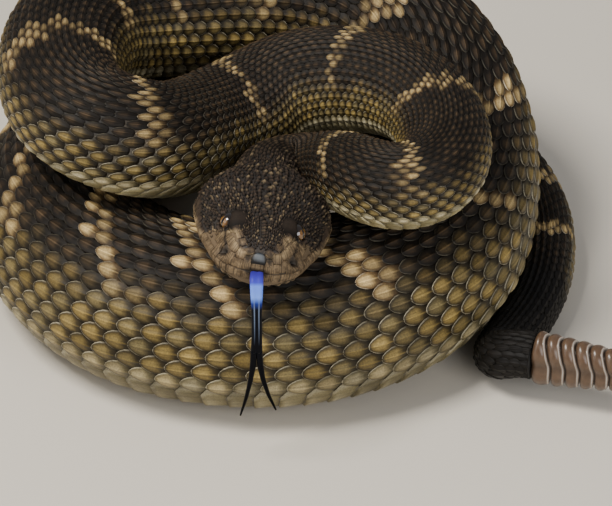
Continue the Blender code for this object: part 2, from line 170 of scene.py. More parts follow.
def make_route():
    """Uniform cubic B-spline through the listed points, with its frames, every quarter mm."""
    tip = np.array(LIP_TIP + (NAPE_RADIUS, HEAD_LEAN))
    nape = np.array(NAPE + (NAPE_RADIUS, HEAD_LEAN))
    head = [tip + (nape - tip) * k / 5.0 for k in range(5)]
    knots = np.vstack([head, np.array(ROUTE, dtype=float)])
    knots = np.vstack([2 * knots[0] - knots[1], knots, 2 * knots[-1] - knots[-2]])
    u = np.linspace(0.0, 1.0, 40, endpoint=False)[:, None]
    parts = []
    for i in range(1, len(knots) - 2):
        a, b, c, d = knots[i - 1], knots[i], knots[i + 1], knots[i + 2]
        parts.append(((1 - u) ** 3 * a + (3 * u ** 3 - 6 * u ** 2 + 4) * b
                      + (-3 * u ** 3 + 3 * u ** 2 + 3 * u + 1) * c + u ** 3 * d) / 6.0)
    parts.append(knots[-2:-1])
    line = np.vstack(parts)
    arc = run_of(line[:, :3])
    end = arc[-1]
    s = np.linspace(0.0, end, int(end * 4))

    def place(shift):
        return look_up(np.clip(s + shift, 0.0, end), arc, line, (0, 1, 2))

    c = place(0.0)
    t = unit(place(1.2) - place(-1.2))
    up = unit(np.array([0.0, 0.0, 1.0]) - t * t[:, 2:3])
    side = np.cross(t, up)
    lean = np.radians(np.interp(s, arc, line[:, 4]))[:, None]
    back = np.cos(lean) * up + np.sin(lean) * side
    side = np.cos(lean) * side - np.sin(lean) * up
    ahead = place(3.0) - c
    behind = c - place(-3.0)
    turn = (unit(ahead) - unit(behind)) / (
        0.5 * (np.linalg.norm(ahead, axis=1) + np.linalg.norm(behind, axis=1)))[:, None]
    k = np.linalg.norm(turn, axis=1)
    inward = turn / np.maximum(k, 1e-6)[:, None]
    reach = 1.0 / np.maximum(k, 1e-4)
    r = np.interp(s, arc, line[:, 3])
    return np.column_stack([c, t, side, back, r, inward, reach]), end


RAIL, END = make_route()


def rail(s):
    """Every column of the route at distances s, by straight interpolation."""
    s = np.clip(s, 0.0, END)
    x = s / END * (len(RAIL) - 1)
    i = np.clip(x.astype(int), 0, len(RAIL) - 2)
    f = (x - i)[..., None]
    return RAIL[i] * (1 - f) + RAIL[i + 1] * f


HEAD_FINE = np.linspace(0.0, 42.0, 421)


def soft_head():
    """The columns of HEAD at fine distances, softened but for the blunt front of the lips."""
    columns = look_up(HEAD_FINE, HEAD[:, 0], HEAD, (1, 2, 3, 4)).T
    kernel = np.hanning(19)[1:-1]
    kernel = kernel / kernel.sum()
    blend = smooth(0.0, 1.5, HEAD_FINE)
    return [column * (1 - blend)
            + np.convolve(np.pad(column, 8, mode="edge"), kernel, mode="valid") * blend
            for column in columns]


HEAD_SOFT = soft_head()


def dent(dist, radius, depth):
    return -depth * np.exp(-(dist / radius) ** 2)


def apart(s, x, y, mark):
    """Distance of a place on the head from a mark of the face, x sideways and y upward."""
    return np.sqrt((s - mark[0]) ** 2 + (x - mark[1]) ** 2 + (y - mark[2]) ** 2)


def mouth_line(s):
    """Height of the line of the mouth above the head's axis: nearly level, up at the corner."""
    return np.interp(s, [0, 3, 9, 15, 20, 24, 26], [0.0, -0.02, -0.42, -0.52, 0.08, 0.98, 1.1])


def face_push(s, ax, hy):
    """Swell or dent of the face: brow ridge, socket, pit, nostril, line of the mouth.

    Each is a bell exp(-d^2) of the distance from its mark, and the last is a shallow hollow
    behind the brow.
    """
    ridge = np.exp(-((s - EYE_AT[0] + 0.6) / 3.2) ** 2 - ((ax - 6.6) / 1.6) ** 2)
    push = 0.8 * ridge * smooth(4.6, 5.6, hy)
    push = push + dent(apart(s, ax, hy, EYE_AT), 1.6, 1.5) * smooth(1.5, 3.2, hy)
    push = push + dent(apart(s, PIT_AT[1], hy, PIT_AT), 0.75, 1.7)
    nostril = np.sqrt((s - NOSTRIL_AT[0]) ** 2 + (hy - NOSTRIL_AT[2]) ** 2 * 1.8)
    push = push + dent(nostril, 0.5, 1.0) * smooth(1.2, 2.2, ax)
    push = push + dent(hy - mouth_line(s), 0.18, 0.45) * smooth(26.5, 24.5, s)
    hollow = np.exp(-((s - 19.0) / 4.0) ** 2 - ((ax - 8.5) / 2.2) ** 2)
    return push - 0.35 * hollow * (hy > 0)


def shape(s, phi):
    """Skin point for distance s and angle phi from the middle of the back.

    Body: r sin(phi) sideways and r cos(phi) upward, with a flat belly. Head: half width times
    sin(phi)^(2/q) and crown or chin times cos(phi)^(2/q), narrower toward the crown, pushed
    in and out by the marks of the face. One blends into the other at the nape.
    """
    row = rail(s)
    c, side, back, r = row[..., 0:3], row[..., 6:9], row[..., 9:12], row[..., 12]
    inward, reach = row[..., 13:16], row[..., 16]
    r = r - BODY_SINK
    sx, cy = np.sin(phi), np.cos(phi)
    bx, by = r * sx, np.maximum(r * cy, -BELLY_FLAT * r)
    w, top, low, sq = [np.interp(s, HEAD_FINE, col) for col in HEAD_SOFT]
    w, top, low = w - HEAD_SINK, top - HEAD_SINK, low - HEAD_SINK
    px = np.sign(sx) * np.abs(sx) ** (2.0 / sq)
    py = np.sign(cy) * np.abs(cy) ** (2.0 / sq)
    taper = np.interp(s, TAPER_AT, TAPER)
    upper = np.clip(py, 0.0, 1.0)
    lower = np.clip(-py, 0.0, 1.0)
    hx = w * px * (1.0 - taper * upper ** 0.6) * (1.0 - 0.22 * lower ** 2)
    hy = np.where(py > 0.0, top * py, low * py)
    push = face_push(s, np.abs(hx), hy)
    mix = smooth(NECK_FROM, NECK_TO, s)
    out = unit(np.stack([hx / np.maximum(w, 0.5), hy / np.maximum(top, 0.5)], -1))
    hx = hx + out[..., 0] * push * (1 - mix)
    hy = hy + out[..., 1] * push * (1 - mix)
    x = hx * (1 - mix) + bx * mix
    y = hy * (1 - mix) + by * mix
    d = side * x[..., None] + back * y[..., None]
    over = np.sum(d * inward, -1) - BEND_SHARE * reach
    p = c + d - inward * (np.maximum(over, 0.0) * BEND_FOLD)[..., None]
    p[..., 2] = np.maximum(p[..., 2], SKIN_FLOOR)
    return p


def skin_frame(s, phi):
    """Skin point, outward normal, and millimetres of skin to one unit of s and of phi."""
    h, g = 0.12, 0.02
    ahead, behind = np.minimum(s + h, END), np.maximum(s - h, 0.0)
    p = shape(s, phi)
    ds = (shape(ahead, phi) - shape(behind, phi)) / (ahead - behind)[..., None]
    dp = (shape(s, phi + g) - shape(s, phi - g)) / (2 * g)
    n = unit(np.cross(dp, ds))
    flip = np.sign(np.sum(n * (p - rail(s)[..., 0:3]), -1, keepdims=True))
    gs, gp = [np.maximum(np.linalg.norm(d, axis=-1), 0.05) for d in (ds, dp)]
    return p, n * np.where(flip == 0, 1, flip), gs, gp


def ragged(a, b):
    """Smooth repeatable wobble from -1 to 1."""
    return np.sin(a * 1.7 + 1.3 * np.sin(b * 2.3)) * 0.6 + np.sin(a * 0.61 - b * 3.1 + 0.7) * 0.4


def from_back(phi):
    """Angle from the middle of the back, alike on both sides."""
    return np.abs((phi + math.pi) % (2 * math.pi) - math.pi)


def pitch(s):
    """Length of body covered by one scale row: short at the neck, long at mid body."""
    return np.interp(s, PITCH_AT, PITCH)


def flank_reach(s):
    """Angle at which the scale rows end and the belly plates begin."""
    return np.radians(np.interp(s, [37.0, 190.0, 270.0], [113.0, 115.0, 129.0]))


def markings(s, phi):
    """Dark blotch, pale bar, belly, black tail and head shares at a place on the skin.

    Bars cross the back at their own distances and slant headward down the flank along the
    slanting scale rows; blotches fill between them to about sixty degrees each side.
    """
    phi = from_back(phi)
    deg = np.degrees(phi)
    arc = rail(s)[..., 12] * np.maximum(phi - math.radians(14.0), 0.0)
    near = np.min(np.abs(s[..., None] + arc[..., None] * BARS[:, 1] - BARS[:, 0]), -1)
    girth = pitch(s)
    front = smooth(300.0, 350.0, s)
    half = (0.74 - 0.09 * front) * girth * (1.0 + 0.45 * ragged(s * 0.9, deg * 0.06))
    pale = smooth(half + 0.3, half - 0.3, near) * smooth(74.0, 62.0, deg)
    pale = pale * (0.72 + 0.28 * front)
    edge = 60.0 + 7.0 * ragged(s * 0.35, deg * 0.02) + 32.0 * smooth(90.0, 70.0, s)
    dark = smooth(edge + 32.0, edge - 10.0, deg)
    rim = np.exp(-((near - half - 0.9 * girth) / (0.8 * girth)) ** 2) * smooth(74.0, 55.0, deg)
    low = np.degrees(flank_reach(s))
    # Where the coils rest on the floor, from 300 to 340 mm on, the pale belly fades by up to 0.45:
    # painted shade where belly meets floor.
    belly = smooth(low - 14.0, low + 2.0, deg) * (1.0 - 0.45 * smooth(300.0, 340.0, s))
    black = smooth(BLACK_FROM, BLACK_TO, s)
    headness = smooth(MARKS_FROM, MARKS_TO, s)
    return dark, pale * (1 - headness), rim * (1 - headness), belly, black, headness


def off_axis(p, s):
    """Sideways and upward distance of points from the axis of the head."""
    row = rail(s)
    rel = p - row[..., 0:3]
    return np.abs(np.sum(rel * row[..., 6:9], -1)), np.sum(rel * row[..., 9:12], -1)


def face_mark_and_shade(s, phi, hx, hy, wob):
    """Dark share of the face: a black bar under the eye, and painted shade round pit and nostril
    and in the lips' notch at the tongue.
    """
    deg = np.degrees(from_back(phi))
    slit = smooth(1.8, 0.3, ((deg - 80.2 + 2.2 * s + 3.0 * wob) / 2.8) ** 2)
    slit = slit * smooth(3.0, 4.0, s) * smooth(11.0, 9.5, s)
    # Painted shade in the pit, the nostril and the notch of the lips at the tongue.
    hole = ((s - PIT_AT[0]) ** 2 + (hy - PIT_AT[2] - 0.2) ** 2) / 1.1 ** 2
    hole = smooth(1.8, 0.4, hole * (1.0 + 1.2 * wob)) * (s < 9.0)
    nose = ((hx - 2.4) / 0.7) ** 2 + ((hy - NOSTRIL_AT[2]) / 1.0) ** 2 + wob
    nose = smooth(1.6, 0.5, nose) * smooth(3.2, 2.2, s)
    root = ((hy - mouth_line(s)) / 0.9) ** 2 + (hx / 2.6) ** 4
    root = smooth(1.5, 0.6, root) * smooth(2.5, 1.0, s)
    return np.maximum(np.maximum(slit, hole), np.maximum(nose, root))


def face_shares(s, phi):
    """Pale tan of the lips and snout up to a ragged edge, the face's dark share with its painted
    shade, height over that edge.
    """
    hx, hy = off_axis(shape(s, phi), s)
    wob = 0.35 * ragged(s * 2.3, hy * 1.9) + 0.2 * ragged(s * 5.0 + 2.0, hx * 4.0)
    edge = np.interp(s, TAN_AT, TAN_UP)
    mark_and_shade = face_mark_and_shade(s, phi, hx, hy, wob)
    upper = smooth(0.25, -0.25, hy - (edge + wob))
    lower = smooth(0.2, -0.4, hy - mouth_line(s)) * smooth(27.0, 17.0, s)
    chin = smooth(-2.6, -4.0, hy)
    tan = np.clip(np.maximum(np.maximum(upper, lower * 0.85), chin * 0.8), 0.0, 1.0)
    # The tan gives way to the dark share, painted shade included.
    return tan * (1.0 - 0.8 * mark_and_shade), mark_and_shade, hy - edge


# Materials of the skin, scales, eyes, tongue and rattle.


def linear(code):
    """sRGB hex to the linear colour that shaders take."""
    out = []
    for k in (1, 3, 5):
        v = int(code[k:k + 2], 16) / 255.0
        out.append(v / 12.92 if v <= 0.04045 else ((v + 0.055) / 1.055) ** 2.4)
    return (out[0], out[1], out[2], 1.0)


def plug(mat, socket, value):
    """Links a socket, or sets any other value."""
    if isinstance(value, bpy.types.NodeSocket):
        mat.node_tree.links.new(value, socket)
    else:
        socket.default_value = value


def node(mat, kind, **values):
    """Adds a shader node: set_x sets its property x, i3 is its input 3, others go by name."""
    made = mat.node_tree.nodes.new(kind)
    for key, value in values.items():
        if key.startswith("set_"):
            setattr(made, key[4:], value)
        elif key[0] == "i" and key[1:].isdigit():
            plug(mat, made.inputs[int(key[1:])], value)
        else:
            plug(mat, made.inputs[key.replace("_", " ")], value)
    return made


def attr(mat, name):
    return node(mat, "ShaderNodeAttribute", set_attribute_name=name).outputs["Fac"]


def blend_colour(mat, share, a, b):
    """Mix of two colours; 6 and 7 are the colour inputs of a Mix node in colour mode."""
    made = node(mat, "ShaderNodeMix", set_data_type="RGBA", i0=share, i6=a, i7=b)
    return made.outputs[2]


def tint(mat, colour, code, share):
    """Lays a plain colour over another by a share."""
    return blend_colour(mat, share, colour, linear(code))


def calc(mat, how, a, b=0.0):
    return node(mat, "ShaderNodeMath", set_operation=how, i0=a, i1=b).outputs[0]


def times(mat, a, b):
    return calc(mat, "MULTIPLY", a, b)


def remap(mat, value, low, high):
    """Share from 0 to 1 of a value between two limits."""
    return node(mat, "ShaderNodeMapRange", Value=value, i1=low, i2=high).outputs[0]


def noise(mat, scale, detail):
    """Noise in object space; scale is in cells per metre."""
    where = node(mat, "ShaderNodeTexCoord").outputs["Object"]
    made = node(mat, "ShaderNodeTexNoise", Vector=where, Scale=scale, Detail=detail)
    return made.outputs["Fac"]


def relief(mat, strength, depth, scale, detail):
    """Normals of a fine relief of noise, its depth in metres."""
    return node(mat, "ShaderNodeBump", Strength=strength, Distance=depth,
                Height=noise(mat, scale, detail)).outputs[0]


def new_material(name):
    mat = bpy.data.materials.new(name)
    mat.use_nodes = True
    return mat, mat.node_tree.nodes["Principled BSDF"]


def set_shader(mat, shader, **values):
    for key, value in values.items():
        plug(mat, shader.inputs[key.replace("_", " ")], value)


def tone(mat, core, margin, centre):
    """A scale's own two colours: darker toward its margin, lighter at its middle."""
    return blend_colour(mat, core, linear(margin), tuple(centre))


def snake_colour(mat, core, props):
    """The markings, the same for bare skin and for scales, from the shares on the vertices."""
    flank = tone(mat, core, "#2c2417", props.flank_colour)
    olive = tone(mat, core, "#2a261a", linear("#7a7050"))
    mixed = calc(mat, "FRACT", times(mat, attr(mat, "vary"), 7.31))
    flank = blend_colour(mat, times(mat, mixed, 0.8), flank, olive)
    sharp = core if isinstance(core, float) else calc(mat, "POWER", core, 2.5)
    back = tone(mat, sharp, "#120e0a", props.back_colour)
    colour = blend_colour(mat, attr(mat, "dark"), flank, back)
    colour = tint(mat, colour, "#171310", times(mat, attr(mat, "rim"), 0.5))
    for share, margin, centre in (("belly", "#9c9067", props.belly_colour),
                                  ("head", "#0c0907", props.head_colour),
                                  ("tan", "#56452f", props.tan_colour),
                                  ("pale", "#5a452c", props.bar_colour),
                                  ("black", "#0a0909", linear("#191716"))):
        colour = blend_colour(mat, attr(mat, share), colour, tone(mat, core, margin, centre))
    return colour


def scale_material(props):
    """Keeled scales as dull dry horn. Painted shade darkens each scale's root and sunken skirt,
    and a painted highlight lightens its thin free edge, which on crossbar scales is also their own
    pale rim.

    Grains, mottling and streaks along each scale keep it from reading as plastic. Some crown
    granules carry a painted glint, and the rostral shield a painted blue-grey reflection of the
    sky; it is the glossiest, the dark scales of the back the dullest.
    """
    mat, shader = new_material("scale_horn")
    core, dark, slate = attr(mat, "core"), attr(mat, "dark"), attr(mat, "slate")
    tan, vary = attr(mat, "tan"), attr(mat, "vary")
    colour = snake_colour(mat, core, props)
    # Painted shade at the root of each scale, under the one before it, and on its skirt; on face
    # plates this share also carries the brow plates' darkening, the dark bar under the eye and
    # painted shade in pit, nostril and tongue notch.
    colour = tint(mat, colour, "#15110d", times(mat, attr(mat, "root"), 0.75))
    # Painted highlight on each scale's free edge, weaker on dark and black scales; on crossbar
    # scales it is also their own pale rim.
    faint = calc(mat, "SUBTRACT", 0.62, times(mat, dark, 0.52))
    faint = calc(mat, "MAXIMUM", faint, times(mat, attr(mat, "pale"), 0.6))
    faint = calc(mat, "SUBTRACT", faint, times(mat, attr(mat, "black"), 0.6))
    faint = calc(mat, "MAXIMUM", faint, 0.02)
    tip = calc(mat, "POWER", attr(mat, "tip"), 1.2)
    colour = tint(mat, colour, "#e0d6b8", times(mat, tip, faint))
    grain = remap(mat, noise(mat, 2600.0, 4.0), 0.35, 0.7)
    colour = tint(mat, colour, "#120f0c", times(mat, grain, 0.4))
    # Painted glint on some crown granules; on the face plates, a pale band under the edge of the
    # tan mask.
    colour = tint(mat, colour, "#a8926e", times(mat, attr(mat, "spark"), 0.4))
    mottle = times(mat, remap(mat, noise(mat, 620.0, 4.0), 0.5, 0.62), tan)
    colour = tint(mat, colour, "#3a2c1d", times(mat, mottle, 0.6))
    place = calc(mat, "ADD", times(mat, attr(mat, "across"), 3.2), times(mat, vary, 61.0))
    lines = node(mat, "ShaderNodeTexNoise", set_noise_dimensions="1D", W=place, Scale=1.0,
                 Detail=3.0)
    streak = remap(mat, lines.outputs["Fac"], 0.48, 0.68)
    fine = calc(mat, "ADD", 0.30, times(mat, tan, 0.5))
    colour = tint(mat, colour, "#1d1812", times(mat, streak, fine))
    # Painted blue-grey reflection of the sky on the rostral shield.
    colour = blend_colour(mat, slate, colour, tone(mat, core, "#121417", linear("#626b74")))
    light = calc(mat, "ADD", 0.62, times(mat, vary, 0.6))
    hsv = node(mat, "ShaderNodeHueSaturation", Value=light, Color=colour)
    rough = calc(mat, "ADD", 0.46, times(mat, dark, 0.14))
    rough = calc(mat, "SUBTRACT", rough, times(mat, slate, 0.2))
    set_shader(mat, shader, Base_Color=hsv.outputs[0], Roughness=rough,
               Normal=relief(mat, 0.3, 0.00008, 5200.0, 3.0))
    shader.inputs["Specular IOR Level"].default_value = 0.17
    return mat


def skin_material(props):
    """Soft skin between the scales: grey on the stretched flank, matt and finely wrinkled."""
    mat, shader = new_material("bare_skin")
    colour = snake_colour(mat, 0.2, props)
    grey = blend_colour(mat, attr(mat, "dark"), linear("#4b473f"), linear("#120f0c"))
    plain = calc(mat, "MAXIMUM", attr(mat, "head"), attr(mat, "black"))
    share = calc(mat, "SUBTRACT", 0.8, times(mat, plain, 0.75))
    colour = blend_colour(mat, share, colour, grey)
    # Painted shade in pit, nostril, line of the mouth and socket of the eye.
    colour = tint(mat, colour, "#080706", attr(mat, "hollow"))
    set_shader(mat, shader, Base_Color=colour, Roughness=0.7,
               Normal=relief(mat, 0.4, 0.00015, 3000.0, 4.0))
    return mat


def eye_material(props):
    """Wet golden iris flecked with brown round an upright slit pupil, with painted shade darkening
    it toward its rim.
    """
    mat, shader = new_material("eye_gold")
    across, up = attr(mat, "eye_x"), attr(mat, "eye_y")
    sq = times(mat, up, up)
    slit = times(mat, calc(mat, "SUBTRACT", 1.0, sq), 0.17)
    slit = calc(mat, "MAXIMUM", slit, 0.03)
    inside = calc(mat, "SUBTRACT", slit, calc(mat, "ABSOLUTE", across))
    fleck = remap(mat, noise(mat, 4200.0, 5.0), 0.42, 0.66)
    iris = tint(mat, tuple(props.iris_colour), "#5d3512", fleck)
    # Painted shade: the iris darkens toward the rim of the eye.
    reach = calc(mat, "ADD", times(mat, across, across), sq)
    iris = tint(mat, iris, "#150d07", remap(mat, reach, 0.25, 0.62))
    colour = tint(mat, iris, "#030202", remap(mat, inside, -0.015, 0.015))
    set_shader(mat, shader, Base_Color=colour, Roughness=0.08)
    shader.inputs["Coat Weight"].default_value = 1.0
    shader.inputs["Coat Roughness"].default_value = 0.03
    return mat


def tongue_material(props):
    """Moist tongue: violet at the lips, light blue, then black, with painted highlights as pale
    lines on its stem.
    """
    mat, shader = new_material("tongue_wet")
    along = attr(mat, "along")
    ramp = node(mat, "ShaderNodeValToRGB", Fac=along)
    stops = [(0.0, "#241f5c"), (0.09, "#352f8e"), (0.135, "#3d3fae"), (0.155, "#5f80e2"),
             (0.22, "#6c92f0"), (0.26, "#263480"), (0.30, "#0a0c14"), (1.0, "#020203")]
    cr = ramp.color_ramp
    while len(cr.elements) < len(stops):
        cr.elements.new(0.5)
    for element, (at, code) in zip(cr.elements, stops):
        element.position = at
        element.color = linear(code)
    # Painted highlights: pale lines along both sides of the stem's groove.
    off = calc(mat, "SUBTRACT", calc(mat, "ABSOLUTE", attr(mat, "across")), 0.42)
    line = remap(mat, calc(mat, "ABSOLUTE", off), 0.16, 0.04)
    stem = times(mat, remap(mat, along, 0.56, 0.34), remap(mat, along, 0.2, 0.3))
    colour = tint(mat, ramp.outputs[0], "#8496b4", times(mat, times(mat, line, stem), 0.6))
    set_shader(mat, shader, Base_Color=colour, Roughness=0.3)
    shader.inputs["Specular IOR Level"].default_value = 0.06
    return mat


def rattle_material(props):
    """Dry, slightly translucent horn, with painted shade in the grooves and a painted highlight on
    each ring's lip.
    """
    mat, shader = new_material("rattle_horn")
    body = blend_colour(mat, noise(mat, 900.0, 4.0), linear("#43301f"),
                        tuple(props.rattle_colour))
    # Painted shade in the grooves and side furrows, painted highlight on each ring's lip.
    colour = tint(mat, body, "#21150e", attr(mat, "groove"))
    colour = tint(mat, colour, "#c2b7ab", times(mat, attr(mat, "lip_highlight"), 0.75))
    set_shader(mat, shader, Base_Color=colour, Roughness=0.28)
    shader.inputs["Subsurface Weight"].default_value = 0.12
    shader.inputs["Subsurface Radius"].default_value = (0.002, 0.001, 0.0006)
    return mat


# Meshes of the pieces.


def add_object(name, data):
    ob = bpy.data.objects.new(name, data)
    bpy.context.scene.collection.objects.link(ob)
    return ob


def mesh_object(name, verts, faces, mat, values):
    """A mesh from arrays in millimetres, with its vertex shares."""
    me = bpy.data.meshes.new(name)
    co = ((verts - BASE) * MM).astype(np.float32)
    faces = faces.astype(np.int32)
    me.vertices.add(len(co))
    me.vertices.foreach_set("co", co.ravel())
    me.loops.add(faces.size)
    me.loops.foreach_set("vertex_index", faces.ravel())
    me.polygons.add(len(faces))
    me.polygons.foreach_set("loop_start", np.arange(0, faces.size, 3, dtype=np.int32))
    me.polygons.foreach_set("use_smooth", np.ones(len(faces), dtype=bool))
    me.update(calc_edges=True)
    for key, value in values.items():
        layer = me.attributes.new(key, "FLOAT", "POINT")
        layer.data.foreach_set("value", value.astype(np.float32).ravel())
    me.validate()
    me.materials.append(mat)
    return add_object(name, me)


def shares(s, phi, vary):
    """Every share that the materials read, by its name, at places on the skin."""
    dark, pale, rim, belly, black, head = markings(s, phi)
    tan = face_shares(s, phi)[0] * smooth(30.0, 24.0, s)
    return {"dark": dark, "pale": pale, "rim": rim, "belly": belly, "black": black,
            "head": head, "tan": tan, "vary": vary}


def around(count):
    """Angles once round, without the last, which is the first again."""
    return np.linspace(0.0, 2 * math.pi, count, endpoint=False)


def tube_faces(rows, seg):
    """Triangles of a tube of rows rings with seg points each."""
    a = np.arange(rows - 1)[:, None] * seg + np.arange(seg)
    b = np.arange(rows - 1)[:, None] * seg + (np.arange(seg) + 1) % seg
    quads = np.stack([a, b, b + seg, a + seg], -1).reshape(-1, 4)
    return np.vstack([quads[:, [0, 1, 2]], quads[:, [0, 2, 3]]])


def end_caps(rows, seg):
    """Triangles that close the first and the last ring of a tube."""
    k = np.arange(1, seg - 1)
    last = (rows - 1) * seg
    first = np.stack([np.zeros_like(k), k + 1, k], -1)
    rear = np.stack([np.full_like(k, last), last + k, last + k + 1], -1)
    return np.vstack([first, rear])


def build_skin(mat):
    """Skin of the whole animal: rings of shape(s, phi) along the route, closed at both ends.

    Its hollow share, painted shade in recesses, is a bell exp(-d^2) round pit, nostril and line
    of the mouth, and the eye's socket.
    """
    s = np.concatenate([[0.0, 0.12], np.arange(0.35, 40.0, 0.3), np.arange(40.0, END - 0.2, 1.3),
                        [END]])
    n, rows = SKIN_RING, len(s)
    S, A = np.meshgrid(s, around(n), indexing="ij")
    p = shape(S, A)
    verts = np.vstack([p.reshape(-1, 3), p[0].mean(0), p[-1].mean(0)])
    base, last = rows * n, (rows - 1) * n
    i = np.arange(n)
    j = (i + 1) % n
    front = np.stack([np.full(n, base), j, i], -1)
    rear = np.stack([np.full(n, base + 1), last + i, last + j], -1)
    S, A = np.append(S, [0.0, END]), np.append(A, [0.0, 0.0])
    values = shares(S, A, np.full(len(S), 0.5))
    hx, hy = off_axis(verts, S)
    pit = np.exp(-(apart(S, PIT_AT[1], hy, PIT_AT) / 0.8) ** 2)
    nostril = np.exp(-(apart(S, NOSTRIL_AT[1], hy, NOSTRIL_AT) / 0.5) ** 2) * (hx > 1.4)
    lip = np.exp(-((hy - mouth_line(S)) / 0.2) ** 2) * smooth(26.0, 24.0, S) * 0.8
    socket = smooth(2.7, 2.0, apart(S, hx, hy, EYE_AT)) * (hy > 0)
    values["hollow"] = np.clip(np.max([pit, nostril, lip, socket], axis=0), 0, 1)
    return mesh_object("skin", verts, np.vstack([tube_faces(rows, n), front, rear]), mat, values)


def leaf_template(cols, rows, keel, lift, bulge, root_width, tip_power, full=0.5, stand=0.0,
                  square=2.0):
    """One scale in unit size: top grid, skirt and underside of a rounded leaf.

    Across u is -1..1, along v is 0..1. Half width grows from the root, is full at v = full
    and rounds off to the tip as (1 - off^2)^tip_power. Height is stand + lift v^0.8 plus a
    mid keel and a swell (1 - |u|^square) sin(pi v)^(1/square), flat-topped when square is
    large.
    """
    U, V = np.meshgrid(cols, rows)
    grow = root_width + (1 - root_width) * np.sin(np.clip(V / full, 0, 1) * math.pi / 2)
    off = np.clip((V - full) / (1.0 - full), 0.0, 1.0)
    wide = np.maximum(grow * (1.0 - off ** 2.0) ** tip_power, 0.04)
    arch = np.sin(np.clip(V * 1.02, 0, 1) * math.pi) ** (1.0 / square)
    swell = (1 - np.abs(U) ** square) * arch
    ridge = np.sin(np.clip((V - 0.1) / 0.88, 0, 1) * math.pi) ** 0.6
    h = (stand + lift * V ** 0.8 + bulge * swell + keel * np.exp(-(U / 0.13) ** 2) * ridge
         - 0.2 * smooth(0.2, 0.0, V))
    x, y, z = (U * wide).ravel(), V.ravel(), h.ravel()
    # The free edge marked here gets a painted highlight; the root and the skirt get painted shade.
    edge = np.maximum((np.abs(U) > 0.97) * smooth(0.5, 0.8, V), V > 0.985).astype(float).ravel()
    root = smooth(0.5, 0.1, V).ravel()
    core = smooth(0.92, 0.45, np.abs(U)) * smooth(0.97, 0.8, V) * smooth(0.28, 0.55, V)
    # The thin line along the keel is a painted highlight.
    core = 0.7 * core + (np.abs(U) < 0.05) * smooth(1.0, 0.8, V) * smooth(0.1, 0.3, V) * 0.55
    core = (core if square < 4.0 else 0.9 * swell).ravel()
    nu, nv = len(cols), len(rows)
    grid = np.arange(nu * nv).reshape(nv, nu)
    a = grid[:-1, :-1].ravel()
    ring = np.concatenate([grid[0], grid[1:, -1], grid[-1, -2::-1], grid[-2:0:-1, 0]])
    m, start = len(ring), nu * nv
    k = np.arange(m)
    nxt = (k + 1) % m
    fan = np.arange(1, m - 1)
    faces = np.vstack([
        np.stack([a, a + 1, a + nu + 1], 1), np.stack([a, a + nu + 1, a + nu], 1),
        np.stack([ring[nxt], ring, start + k], 1),
        np.stack([ring[nxt], start + k, start + nxt], 1),
        np.stack([np.full(m - 2, start), start + fan + 1, start + fan], 1)])
    x = np.concatenate([x, x[ring] * 0.94])
    y = np.concatenate([y, 0.5 + (y[ring] - 0.5) * 0.96])
    z = np.concatenate([z, np.minimum(z[ring] - 0.3, -0.1)])
    edge = np.concatenate([edge, edge[ring] * 0.3])
    root = np.concatenate([root, np.maximum(root[ring], 0.7)])
    core = np.concatenate([core, np.zeros(m)])
    return x, y, z, faces.astype(np.int32), edge, root, core


KEELED = leaf_template([-1, -0.8, -0.42, -0.13, 0, 0.13, 0.42, 0.8, 1],
                       [0, 0.15, 0.34, 0.54, 0.72, 0.86, 0.95, 1.0],
                       keel=0.42, lift=0.5, bulge=0.24, root_width=0.45, tip_power=0.65)
SHIELD = leaf_template([-1, -0.92, -0.7, -0.25, 0.25, 0.7, 0.92, 1],
                       [0, 0.07, 0.2, 0.5, 0.8, 0.93, 1.0], keel=0.0, lift=0.08, bulge=0.3,
                       root_width=0.93, tip_power=0.14, full=0.6, stand=0.38, square=7.0)
BROW = leaf_template([-1, -0.85, -0.5, -0.2, 0.2, 0.5, 0.85, 1],
                     [0, 0.1, 0.25, 0.5, 0.75, 0.9, 1.0], keel=0.0, lift=0.1, bulge=0.5,
                     root_width=0.5, tip_power=0.42, stand=0.3, square=3.0)
ROSTRAL = leaf_template([-1, -0.9, -0.6, -0.2, 0.2, 0.6, 0.9, 1],
                        [0, 0.07, 0.2, 0.5, 0.75, 0.9, 1.0], keel=0.0, lift=0.1, bulge=0.5,
                        root_width=0.92, tip_power=0.45, full=0.45, stand=0.3, square=3.0)
GRAIN = leaf_template([-1, -0.5, 0, 0.5, 1], [0, 0.25, 0.55, 0.85, 1.0],
                      keel=0.38, lift=0.3, bulge=0.15, root_width=0.55, tip_power=0.5)
SCUTE = leaf_template(np.linspace(-1, 1, 13), [0, 0.35, 0.75, 0.93, 1.0],
                      keel=0.0, lift=0.5, bulge=0.05, root_width=0.97, tip_power=0.12)


def raised(template, S, A, height):
    """Points of each scale, z times its height over the skin along the normal, and faces."""
    z, faces = template[2:4]
    p, normal, _, _ = skin_frame(np.clip(S, 0.0, END), A)
    p = p + normal * (z * height[:, None])[..., None]
    p[..., 2] = np.maximum(p[..., 2], SCALE_FLOOR)
    first = (np.arange(len(S)) * len(z))[:, None, None]
    return p.reshape(-1, 3), (faces + first).reshape(-1, 3)


def bake_map(s, phi, x, y):
    """Place of each scale's patch: s along, phi round."""
    return np.stack([(phi / (2 * math.pi)) % 1.0 + x * PATCH_U,
                     s / END + (y - 0.5) * PATCH_V], -1)


def tiled(template, n):
    """Across, along, edge, root and core of the template, once for each of n scales."""
    return [np.tile(template[k], n) for k in (0, 1, 4, 5, 6)]


